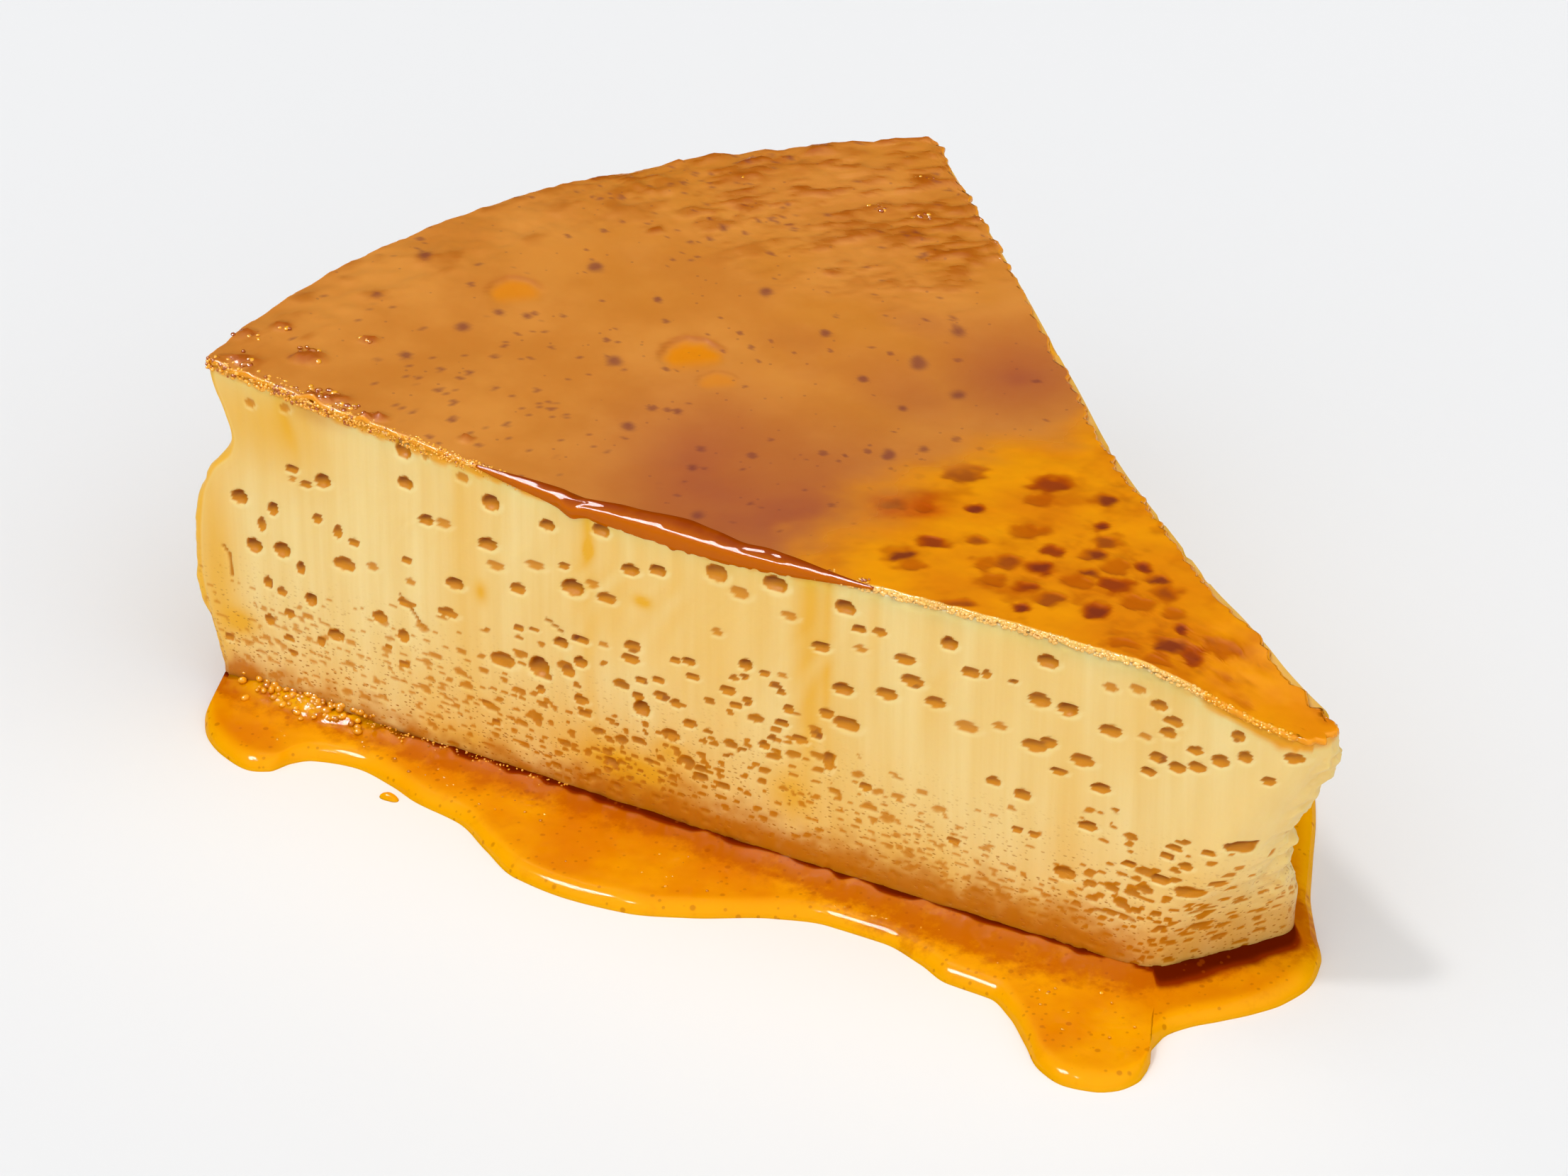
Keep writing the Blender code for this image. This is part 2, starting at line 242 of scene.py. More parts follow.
def addPiece(name, points, faces, material, nodes=(), values=None, smooth=True):
    # mesh in the row frame from points in flan millimetres, with one float attribute per value
    mesh = bpy.data.meshes.new(name)
    thirds = np.concatenate([np.asarray(f)[:, :3] for f in faces] + [np.asarray(f)[:, [0, 2, 3]] for f in faces if np.shape(f)[1] == 4])
    volume = np.einsum("ij,ij->", points[thirds[:, 0]], np.cross(points[thirds[:, 1]], points[thirds[:, 2]]))
    if volume < 0:  # turn it right side out
        faces = [np.asarray(f)[:, ::-1] for f in faces]
    corners = np.concatenate([np.asarray(f, np.int32).ravel() for f in faces])
    sizes = np.concatenate([np.full(len(f), np.shape(f)[1], np.int32) for f in faces])
    mesh.vertices.add(len(points))
    mesh.loops.add(len(corners))
    mesh.polygons.add(len(sizes))
    mesh.vertices.foreach_set("co", ((points + shift) * mm).astype(np.float32).ravel())
    mesh.loops.foreach_set("vertex_index", corners)
    mesh.polygons.foreach_set("loop_start", (np.cumsum(sizes) - sizes).astype(np.int32))
    mesh.update(calc_edges=True)
    mesh.validate()
    mesh.polygons.foreach_set("use_smooth", np.full(len(sizes), smooth))
    for key, value in (values or {}).items():
        mesh.attributes.new(key, "FLOAT", "POINT").data.foreach_set(
            "value", np.asarray(value, np.float32).ravel())
    mesh.materials.append(material)
    piece = bpy.data.objects.new(name, mesh)
    bpy.context.scene.collection.objects.link(piece)
    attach(piece, "root")
    if nodes:
        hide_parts(*nodes)
    print(f"{name}: {len(points)} points, {len(sizes)} faces")
    return piece


def closedGrid(rings):
    # faces between rings of a (row, column) grid that closes along its columns, and a fan to
    # one more point, the middle of the first and of the last ring
    rows, cols = rings.shape[:2]
    index = np.arange(rows * cols).reshape(rows, cols)
    side = np.roll(index, -1, 1)
    quads = np.stack([index[:-1], side[:-1], side[1:], index[1:]], -1).reshape(-1, 4)
    foot, head = rows * cols, rows * cols + 1
    below = np.stack([side[0], index[0], np.full(cols, foot)], -1)
    above = np.stack([index[-1], side[-1], np.full(cols, head)], -1)
    points = np.concatenate([rings.reshape(-1, 3), rings[:1].mean(1), rings[-1:].mean(1)])
    return points, [quads, below, above]


def withEnds(values):
    # the two fan points take the mean of the ring beside them
    return np.concatenate([values.ravel(), [values[0].mean(), values[-1].mean()]])


def pitField(x, z, pits):
    # depth, shade, painted highlight on the lower rim and painted shade on the upper part of oval pits (place, height,
    # width, height).
    # q is the squared distance over the oval's half sizes: bowl = sqrt(1 - q), the rim's painted highlight near q = 1.9
    depth, shade, lip, deep = (np.zeros(x.shape) for _ in range(4))
    ragged = 0.13 * noise(x / 0.5, z / 0.4, 30)
    for px, pz, wide, tall in pits:
        near = (np.abs(x - px) < wide * 1.1) & (np.abs(z - pz) < tall * 1.2)
        dx, dz = (x[near] - px) / (wide / 2), (z[near] - pz) / (tall / 2)
        q = dx**2 + dz**2 + ragged[near]
        bowl = np.sqrt(np.clip(1 - q, 0, 1)) * min(wide, tall) * 0.5
        depth[near] = np.maximum(depth[near], bowl)
        shade[near] = np.maximum(shade[near], 1 - smoothStep(0.7, 1.25, q))
        # painted highlight: the lower rim of each pit is lighter, as if lit from above
        lip[near] = np.maximum(lip[near], bump(q, 1.9, 0.75) * smoothStep(0.1, -0.7, dz - 0.4 * dx))
        # painted shade: the upper part of each pit is darker, as the light from above misses it
        deep[near] = np.maximum(deep[near], shade[near] * smoothStep(-0.5, 0.6, dz - 0.3 * dx))
    return depth, shade, lip, deep


def crackField(x, z, cracks, width=0.16):
    # 1 on thin lines, falling to 0 a width away: distance to each straight piece
    mark = np.zeros(x.shape)
    for line in cracks:
        for (ax, az), (bx, bz) in zip(line, line[1:]):
            lx, lz = bx - ax, bz - az
            t = np.clip(((x - ax) * lx + (z - az) * lz) / (lx**2 + lz**2), 0, 1)
            away = np.hypot(x - ax - t * lx, z - az - t * lz)
            mark = np.maximum(mark, 1 - smoothStep(width * 0.4, width * 1.6, away))
    return mark


def pitLayer(u, z, seed, cellWide, cellTall, wide, tall, chance):
    # one jittered oval pit in each cell of a grid, kept where its hashed number is under the
    # chance there; the deepest of the nine nearest cells counts
    gu, gz = u / cellWide, z / cellTall
    ci, cj = np.floor(gu), np.floor(gz)
    depth, shade = np.zeros(u.shape), np.zeros(u.shape)
    for di in (-1, 0, 1):
        for dj in (-1, 0, 1):
            i, j = ci + di, cj + dj
            size = 0.7 + 0.6 * hashed(i, j, seed + 1)
            pu = (i + 0.15 + 0.7 * hashed(i, j, seed + 2)) * cellWide
            pz = (j + 0.15 + 0.7 * hashed(i, j, seed + 3)) * cellTall
            lean = (hashed(i, j, seed + 5) - 0.5) * 0.5
            du, dz = u - pu, z - pz
            q = ((du + lean * dz) / (wide * size / 2)) ** 2 + ((dz - lean * du) / (tall * size / 2)) ** 2
            kept = hashed(i, j, seed + 4) < chance
            depth = np.maximum(depth, np.where(kept, np.sqrt(np.clip(1 - q, 0, 1)), 0)
                               * tall * size * 0.45)
            shade = np.maximum(shade, np.where(kept, 1 - smoothStep(0.5, 1.5, q), 0))
    return depth, shade


def tone(r, g, b):
    # screen colour 0..255 to linear: ((v + 0.055) / 1.055) ^ 2.4
    v = np.array([r, g, b]) / 255
    return (*np.where(v < 0.04045, v / 12.92, ((v + 0.055) / 1.055) ** 2.4), 1)


def newMaterial(name, **constants):
    material = bpy.data.materials.new(name)
    material.use_nodes = True
    tree = material.node_tree
    shader = tree.nodes["Principled BSDF"]
    for key, value in constants.items():
        shader.inputs[key.replace("_", " ")].default_value = value
    return material, tree, shader


def addNode(tree, kind, settings=None, **inputs):
    # an input given as a socket is linked; anything else is its value
    made = tree.nodes.new("ShaderNode" + kind)
    for key, value in (settings or {}).items():
        setattr(made, key, value)
    for key, value in inputs.items():
        socket = made.inputs[int(key[2:])] if key.startswith("in") else made.inputs[key.replace("_", " ")]
        if isinstance(value, bpy.types.NodeSocket):
            tree.links.new(value, socket)
        else:
            socket.default_value = value
    return made


def maskOf(tree, name):
    return addNode(tree, "Attribute", {"attribute_name": name}).outputs["Fac"]


def blendColour(tree, share, under, over, how="MIX"):
    made = addNode(tree, "Mix", {"data_type": "RGBA", "blend_type": how})
    for socket, value in ((made.inputs[0], share), (made.inputs[6], under), (made.inputs[7], over)):
        if isinstance(value, bpy.types.NodeSocket):
            tree.links.new(value, socket)
        else:
            socket.default_value = value
    return made.outputs[2]


def sums(tree, how, first, second, third=None):
    made = addNode(tree, "Math", {"operation": how}, in0=first, in1=second)
    if third is not None:
        made.inputs[2].default_value = third
    return made.outputs[0]


def between(tree, value, low, high, toLow=0.0, toHigh=1.0):
    return addNode(tree, "MapRange", {"interpolation_type": "SMOOTHSTEP"}, Value=value,
                   From_Min=low, From_Max=high, To_Min=toLow, To_Max=toHigh).outputs[0]


def grain(tree, scale, stretch=(1, 1, 1), detail=3.0, rough=0.55):
    # noise in object space; scale is in grains per metre
    where = addNode(tree, "TexCoord").outputs["Object"]
    where = addNode(tree, "Mapping", Vector=where, Scale=stretch).outputs[0]
    return addNode(tree, "TexNoise", Vector=where, Scale=scale, Detail=detail, Roughness=rough).outputs[0]


def specks(tree, spacing, size, keep, stretch=(1, 1, 1)):
    # small dots: distance to the nearest of scattered points, kept for a share of the points
    where = addNode(tree, "TexCoord").outputs["Object"]
    where = addNode(tree, "Mapping", Vector=where, Scale=stretch).outputs[0]
    cell = addNode(tree, "TexVoronoi", Vector=where, Scale=1000 / spacing)
    dot = between(tree, cell.outputs["Distance"], size * 0.55, size, 1, 0)
    chosen = addNode(tree, "SeparateColor", Color=cell.outputs["Color"]).outputs[0]
    return sums(tree, "MULTIPLY", dot, sums(tree, "LESS_THAN", chosen, keep))


custardLook = {
    "columns": (520, 56, 146, 6, 110, 8),
    "rows": 106,
    "cream": tone(234, 199, 120),
    "pale": tone(241, 216, 148),
    "amber": tone(232, 172, 30),
    "pitWall": tone(214, 138, 0),
    # colour of the painted shade in pits and cracks
    "pitShade": tone(134, 58, 0),
    "skin": tone(240, 180, 42),
    "glaze": tone(240, 156, 14),
    "grit": tone(178, 110, 0),
    "brown": tone(198, 120, 0),
    "maroon": tone(104, 32, 0),
    "scatterRadius": (2.0, 1.5, 0.9),
    "scatterScale": 0.0010,
}

# pits of the near cut that stand out: place along it, height, width, height of the pit
darkPits = [
    (-90.8, 32.0, 1.7, 1.7), (-90.6, 28.7, 1.7, 1.1), (-81.3, 29.3, 1.9, 1.4), (-81.7, 25.1, 1.9, 1.2),
    (-88.4, 25.6, 1.4, 1.0), (-103.3, 26.7, 1.4, 0.8), (-99.9, 26.4, 1.7, 1.3), (-109.7, 22.0, 1.8, 1.4),
    (-105.8, 21.9, 1.1, 1.3), (-108.3, 17.3, 1.8, 1.4), (-105.0, 17.8, 1.9, 1.4), (-102.9, 16.5, 0.9, 1.3),
    (-101.9, 13.5, 1.3, 1.3), (-99.2, 10.5, 1.9, 1.0), (-85.4, 20.0, 2.0, 1.1), (-75.3, 28.7, 1.6, 1.0),
    (-69.6, 29.8, 1.7, 1.2), (-66.5, 26.8, 1.8, 1.0), (-63.7, 27.5, 1.7, 1.0), (-51.8, 29.5, 2.4, 1.4),
    (-44.8, 29.2, 2.0, 1.2), (-43.4, 27.5, 1.4, 0.7), (-47.1, 24.8, 1.7, 0.9), (-44.9, 21.2, 1.9, 1.1),
    (-72.6, 23.3, 2.3, 1.5), (-54.6, 20.8, 1.3, 1.1), (-60.4, 19.4, 1.3, 0.8), (-71.8, 18.3, 1.8, 0.8),
    (-73.9, 17.3, 1.6, 1.0), (-71.8, 16.0, 1.4, 1.0), (-76.4, 14.0, 2.2, 2.0), (-65.5, 13.0, 1.7, 1.6),
    (-51.0, 15.9, 1.4, 0.7), (-34.7, 28.6, 1.6, 1.1), (-25.4, 29.6, 2.0, 1.1), (-28.4, 26.8, 0.8, 0.5),
    (-23.3, 25.6, 1.8, 1.2), (-23.9, 19.4, 1.6, 0.6), (-20.0, 18.9, 1.8, 0.8), (-15.6, 21.9, 1.3, 0.8),
    (-21.1, 14.8, 1.8, 0.8), (-7.1, 16.5, 3.0, 1.2), (-17.1, 12.2, 1.4, 0.5), (-14.2, 11.6, 1.8, 0.9),
]
amberPits = [
    (-101.8, 25.5, 1.1, 0.8), (-107.2, 19.9, 0.9, 1.5), (-100.7, 22.3, 1.1, 0.9), (-98.4, 21.6, 0.9, 1.4),
    (-96.6, 21.0, 1.2, 0.8), (-97.8, 18.4, 2.5, 1.3), (-90.6, 20.9, 1.2, 0.7), (-94.0, 14.0, 1.7, 1.1),
    (-91.4, 12.8, 1.2, 1.3), (-90.8, 16.4, 2.0, 0.7), (-86.3, 16.7, 2.2, 0.9), (-78.5, 21.5, 1.6, 1.1),
    (-80.4, 13.6, 2.7, 1.4), (-106.9, 13.8, 1.0, 1.2), (-105.3, 13.3, 1.2, 0.8), (-104.5, 11.2, 1.2, 0.8),
    (-107.0, 9.8, 1.2, 1.0), (-101.0, 9.3, 1.0, 1.0), (-104.8, 8.4, 1.3, 0.7), (-104.4, 7.0, 1.2, 0.5),
    (-111.9, 6.5, 1.1, 0.8), (-93.2, 11.1, 0.7, 0.5), (-91.5, 9.7, 1.3, 0.6), (-82.5, 8.3, 1.0, 0.7),
    (-81.5, 6.5, 1.0, 0.6), (-73.5, 25.2, 1.0, 0.8), (-57.7, 28.9, 2.2, 1.6), (-69.0, 23.3, 1.9, 1.1),
    (-66.3, 19.2, 1.7, 1.1), (-66.5, 17.9, 2.0, 0.8), (-52.7, 20.5, 1.1, 0.6), (-54.7, 19.6, 0.9, 0.5),
    (-55.8, 19.1, 1.0, 0.6), (-51.6, 19.6, 1.3, 0.5), (-51.0, 19.0, 1.0, 0.6), (-61.8, 19.1, 1.1, 0.6),
    (-60.0, 18.0, 1.4, 0.7), (-76.8, 17.8, 1.1, 0.5), (-78.5, 17.4, 1.2, 0.6), (-56.4, 17.7, 1.6, 0.9),
    (-54.4, 17.2, 1.0, 0.8), (-55.6, 16.4, 1.3, 0.6), (-65.4, 16.0, 1.2, 0.8), (-63.6, 16.6, 1.3, 0.7),
    (-63.3, 15.0, 1.7, 0.8), (-61.8, 14.7, 1.3, 0.8), (-73.2, 14.6, 1.5, 1.2), (-65.8, 14.2, 1.3, 0.8),
    (-76.3, 11.7, 1.0, 0.8), (-71.9, 12.0, 1.6, 0.9), (-71.6, 10.6, 1.4, 0.8), (-60.5, 13.0, 1.2, 0.8),
    (-62.5, 11.2, 2.0, 1.0), (-49.2, 14.8, 1.6, 0.8), (-51.8, 14.1, 1.4, 0.6), (-52.8, 13.1, 1.1, 0.9),
    (-44.5, 17.8, 2.6, 1.4), (-46.5, 18.3, 1.4, 1.0), (-47.5, 15.8, 1.2, 0.8), (-50.3, 17.6, 1.0, 0.9),
    (-46.3, 13.5, 1.1, 2.0), (-42.6, 12.0, 1.2, 0.9), (-41.4, 27.8, 1.4, 0.7), (-32.5, 26.5, 1.7, 1.0),
    (-31.0, 26.8, 0.9, 0.7), (-38.9, 25.9, 2.0, 1.0), (-38.1, 24.0, 2.2, 1.1), (-40.6, 22.0, 2.1, 1.1),
    (-35.8, 22.6, 2.0, 1.0), (-26.0, 25.7, 2.0, 1.3), (-26.3, 21.2, 2.3, 1.2), (-25.0, 21.9, 1.5, 1.0),
    (-21.8, 21.1, 2.2, 1.1), (-19.3, 24.7, 2.0, 1.2), (-14.8, 23.5, 1.5, 1.0), (-13.0, 23.1, 1.5, 1.0),
    (-11.2, 23.7, 1.6, 1.0), (-9.2, 24.9, 1.6, 1.1), (-11.5, 25.2, 1.4, 0.8), (-14.0, 26.1, 1.5, 1.0),
    (-13.6, 27.3, 1.8, 0.9), (-15.0, 28.4, 1.6, 0.9), (-7.7, 27.7, 1.2, 1.0), (-7.0, 25.9, 1.2, 1.2),
    (-4.8, 24.2, 1.2, 0.8), (-1.7, 29.4, 2.0, 1.0), (-2.7, 27.0, 1.8, 1.0), (-30.1, 16.5, 1.4, 0.9),
    (-27.3, 16.0, 1.6, 1.1), (-9.9, 15.5, 1.3, 0.6), (-13.0, 15.1, 1.6, 0.6), (-13.6, 14.1, 1.3, 0.7),
    (-11.9, 13.6, 1.3, 0.7), (-11.6, 10.9, 2.6, 1.2), (-9.4, 12.0, 1.3, 0.7), (-23.1, 9.4, 2.2, 1.2),
    (-33.9, 9.2, 1.3, 0.6), (-27.7, 12.4, 1.1, 0.6), (-26.1, 12.4, 1.1, 0.6),
]
palePits = [
    (-86.5, 25.8, 1.7, 1.0), (-84.3, 31.0, 1.4, 1.0), (-88.3, 32.0, 0.8, 0.7), (-107.7, 32.3, 1.2, 0.9),
    (-103.8, 32.8, 1.3, 0.8), (-103.3, 25.7, 0.9, 0.6), (-94.6, 19.1, 1.6, 0.8), (-90.3, 18.8, 1.2, 0.8),
    (-80.8, 23.2, 2.0, 1.0), (-102.4, 11.5, 1.5, 0.7), (-55.3, 27.7, 2.1, 1.2), (-50.3, 26.9, 1.7, 0.9),
    (-43.2, 25.7, 1.4, 0.7), (-70.5, 24.3, 1.5, 0.9), (-76.6, 24.4, 2.2, 0.9), (-57.5, 23.2, 1.3, 0.8),
    (-50.9, 20.8, 1.2, 0.5), (-69.3, 18.5, 1.2, 0.6), (-32.8, 21.1, 2.4, 1.1), (-29.6, 22.1, 1.5, 0.8),
    (-16.1, 25.1, 1.3, 0.8), (-17.0, 29.4, 1.6, 0.9), (-19.5, 28.8, 1.5, 0.8),
]
knifeCracks = [
    ((-112.0, 16.3), (-111.3, 15.5), (-111.2, 13.2)), ((-75.5, 19.3), (-74.6, 18.9), (-73.7, 18.4)),
    ((-91.6, 17.0), (-90.6, 16.2), (-89.6, 14.9), (-88.9, 14.2)), ((-6.8, 9.0), (-6.3, 10.5), (-5.7, 12.0)),
    ((-12.0, 8.0), (-9.5, 8.4), (-6.5, 9.5)), ((-2.5, 12.0), (-3.2, 11.0), (-3.5, 10.0)),
    ((-9.0, 5.0), (-7.6, 6.4), (-7.0, 8.4)), ((-20.5, 6.5), (-18.4, 6.9), (-16.5, 6.6)),
]
# amber stains: place, height, half width, half height, strength
stains = [
    (-66.5, 6.0, 6.5, 2.2, 0.8), (-62.5, 9.5, 2.0, 1.5, 0.6), (-50.0, 9.0, 2.6, 3.2, 0.8),
    (-110.0, 8.5, 2.0, 1.6, 0.8), (-82.5, 20.0, 0.7, 1.1, 1.0), (-70.9, 27.5, 0.5, 0.6, 1.0),
    (-65.2, 24.0, 0.9, 0.6, 1.0), (-84.5, 3.6, 5.0, 1.4, 0.5), (-64.0, 3.4, 6.0, 1.2, 0.7),
    (-25.0, 4.0, 9.0, 1.6, 0.4), (-10.0, 12.0, 5.0, 2.2, 0.35), (-106.5, 30.5, 8.0, 5.5, 0.75),
    (-112.8, 14.0, 2.6, 12.0, 0.8),
    (-72.0, 8.0, 14.0, 3.5, 0.3), (-36.0, 6.0, 8.0, 3.0, 0.3),
]
# amber runs down from the top: place, half width, how far down they reach, strength
runs = [
    (-68.5, 6.0, 13, 0.50), (-71.0, 0.7, 20, 0.35), (-48.2, 1.8, 19, 0.85), (-46.4, 0.5, 20, 0.5),
    (-36.0, 1.8, 13, 0.30), (-42.0, 0.8, 12, 0.35), (-103.0, 2.5, 6, 0.35), (-87.5, 3.0, 8, 0.20),
    (-62.0, 1.2, 16, 0.25), (-14.0, 2.5, 7, 0.25),
]


def makeCustard():
    # Wall rows run from the foot to the underside of the crust; a point's place is the slice's
    # outline at its own height, moved along the outline's normal by pits, knife marks and lumps.
    look = custardLook
    stations = stationsOf(*look["columns"])
    cols, rows = len(stations), look["rows"]
    edge = sliceOutline(np.full(cols, wedge["top"][-1][1] - wedge["crust"]), stations)
    rim = topHeight(*edge.T) - wedge["crust"] + 0.05
    share = np.linspace(0, 1, rows)[:, None]
    z = wedge["foot"] + (rim - wedge["foot"]) * share
    below = rim - z
    column = np.broadcast_to(stations, z.shape)
    plan = sliceOutline(z.ravel(), column.ravel()).reshape(rows, cols, 2)
    normal = outward(plan)
    middle = plan[rows // 2]
    along = np.concatenate([[0], np.cumsum(np.linalg.norm(np.diff(middle, axis=0), axis=1))])
    u = np.broadcast_to(along, z.shape)
    x = plan[..., 0]

    near = (column < 1.35) | (column > 5.9)
    nearSide = np.where(column < 1.3, 1, 0)
    tipPart = smoothStep(1.3, 1.6, column) * (1 - smoothStep(2.05, 2.3, column))
    facet = smoothStep(0.94, 1.02, column) * (1 - smoothStep(1.7, 2.0, column))
    far = (column > 1.8) & (column < 3.3)
    wall = smoothStep(3.2, 3.9, column) * (1 - smoothStep(5.35, 5.75, column))

    depth, pit, lip, deep = (np.zeros(z.shape) for _ in range(4))
    for pits, strength, bowl in ((darkPits, 1.0, 0.9), (amberPits, 0.8, 0.55), (palePits, 0.42, 0.35)):
        d, s, edgeLight, upperShade = pitField(x, z, pits)
        depth = np.maximum(depth, np.where(near, d * bowl, 0))
        # painted shade on the pits' upper parts
        deep = np.maximum(deep, np.where(near, upperShade * (strength - 0.3) * 1.4, 0))
        pit = np.maximum(pit, np.where(near, s * strength, 0))
        # painted highlight on the pits' lower rims
        lip = np.maximum(lip, np.where(near, edgeLight * (0.4 + 0.6 * bowl), 0))
    patchy = smoothStep(-0.5, 0.5, layered(u / 9, z / 5, 31, 2))
    away = 1 - np.clip(pit, 0, 1)
    bold = np.clip(0.38 + 0.5 * bump(x, -64, 15) + 0.35 * bump(x, -14, 9), 0, 1)
    d, s = pitLayer(u, z, 11, 2.2, 1.4, 1.35, 0.66, 0.7 * bump(z, 8.5, 6) * patchy * away)
    # painted shade inside the small pits here and in the cracks below
    depth, pit, deep = np.maximum(depth, d * bold), np.maximum(pit, s * bold), np.maximum(deep, s * bold**2 * 0.6)
    d, s = pitLayer(u, z, 21, 1.2, 0.8, 0.85, 0.38, 0.95 * bump(z, 6.4, 5.5) * (0.35 + 0.65 * patchy))
    depth, pit, deep = np.maximum(depth, d * bold), np.maximum(pit, s * bold), np.maximum(deep, s * bold**2 * 0.4)
    d, s = pitLayer(u, z, 41, 6.0, 4.2, 2.0, 1.15, np.where(far, 0.6 * smoothStep(8, 14, z), 0))
    depth, pit = np.maximum(depth, d), np.maximum(pit, s * 0.85)
    crack = crackField(x, z, knifeCracks) * nearSide
    depth, pit, deep = np.maximum(depth, crack * 0.2), np.maximum(pit, crack * 0.5), np.maximum(deep, crack * 0.25)
    depth, pit = depth * (1 - wall), pit * (1 - 0.9 * wall)

    knife = 0.025 * noise(u / 0.7, z / 14, 51) + 0.015 * noise(u / 0.33, z / 9, 52)
    waves = 0.14 * layered(u / 7, z / 16, 53)
    lumps = wall * (0.35 * layered(u / 6, z / 3.2, 54) + 0.14 * noise(u / 1.6, z / 1.3, 55))
    torn = tipPart * 0.9 * layered(u / 2.4, z / 1.5, 56) * smoothStep(5, 10, z) * (1 - smoothStep(25, 30, z))
    crumbled = nearSide * 0.12 * noise(u / 0.55, z / 0.5, 57) * (1 - smoothStep(0.3, 1.6, below))
    out = ((knife + waves) * (1 - wall) + lumps + torn) * smoothStep(0, 2.0, below) + crumbled - depth
    out -= 0.15 * (1 - smoothStep(0, 0.9, below))
    plan = plan + normal * out[..., None]

    wallRings = np.concatenate([plan, z[..., None]], -1)
    footRing, headRing = wallRings[0], wallRings[-1]

    def inner(ring, shares, height):
        centre = ring.mean(0)
        return np.stack([np.column_stack([(centre + (ring - centre) * s)[:, :2], height(ring, s)])
                         for s in shares])

    under = inner(footRing, (0.5, 0.93), lambda ring, s: np.full(cols, wedge["foot"]))
    over = inner(headRing, (0.97, 0.9, 0.8, 0.68, 0.54, 0.4, 0.26, 0.12), lambda ring, s: topHeight(
        *(ring.mean(0) + (ring - ring.mean(0)) * s)[:, :2].T) - wedge["crust"] - 1.0)
    rings = np.concatenate([under, wallRings, over])
    points, faces = closedGrid(rings)

    amber = sum(a * bump(x, c, w) * (1 - smoothStep(reach - 4, reach + 4, below)) for c, w, reach, a in runs)
    amber = amber * (0.75 + 0.5 * noise(u / 1.3, z / 30, 60))
    amber = amber + sum(a * bump(x, cx, wx) * bump(z, cz, wz) for cx, cz, wx, wz, a in stains)
    amber = amber * nearSide
    amber += (0.16 + 0.22 * layered(u / 5, z / 12, 61)) * (1 - smoothStep(2, 17, z))
    amber += 0.3 * facet
    amber += 0.35 * np.where(far, smoothStep(-0.2, 0.9, layered(u / 6, z / 22, 62, 2)), 0)
    soaked = z + 1.3 * layered(u / 1.3, z / 0.9, 67, 3)
    soak = smoothStep(-86, -58, x) * 2.6
    # brown foot, cut by 70 % on the facet, which paints the facet lighter
    brown = (1 - smoothStep(1.4 + 0.6 * soak, 5.0 + soak + 1.4 * noise(u / 2.5, z * 0, 63), soaked)) * (1 - 0.7 * facet)
    brown += bump(x, -110, 2.5) * nearSide * (1 - smoothStep(2.5, 6.0, z))
    # painted shade: a brown band 1 mm under the top edge near x = -100.5, below the blistered caramel on the edge
    brown += 0.5 * bump(x, -100.5, 3.0) * bump(below, 1.0, 1.0) * nearSide
    maroon = 1 - smoothStep(1.3, 2.3 + 0.5 * noise(u / 2.2, z * 0, 64), z)
    maroon += bump(x, -110, 3) * nearSide * (1 - smoothStep(1.4, 3.0, z))
    golden = smoothStep(-40, -60, x) + smoothStep(-15, -9, x)
    reach = 0.75 + 0.35 * noise(u / 0.9, z * 0, 66) + 0.9 * smoothStep(-14, -4, x) + 0.5 * bump(x, -92, 12)
    glaze = golden * (1 - smoothStep(reach * 0.5, reach, below)) * nearSide
    glaze += (1 - nearSide) * (1 - smoothStep(0.3, 1.0, below)) * 0.8

    def attribute(values):
        ends = [np.zeros((len(under), cols)), np.clip(values, 0, 1), np.zeros((len(over), cols))]
        return withEnds(np.concatenate(ends))

    # painted light: pale highlights on the pits' lower rims, and the facet from 4 mm up painted lighter
    values = {"pit": attribute(pit), "lip": attribute(lip * (1 - np.clip(pit * 2, 0, 1)) + 0.6 * facet * smoothStep(4, 10, z)), "amber": attribute(amber),
              # deep: painted shade in the pits and cracks
              "deep": attribute(deep * (1 - wall)), "brown": attribute(brown), "maroon": attribute(maroon),
              "skin": attribute(smoothStep(3.2, 3.9, column) * (1 - smoothStep(5.8, 5.99, column))),
              "glaze": attribute(glaze)}
    return addPiece("custard_body", points, faces, custardMaterial(), ("custard",), values)


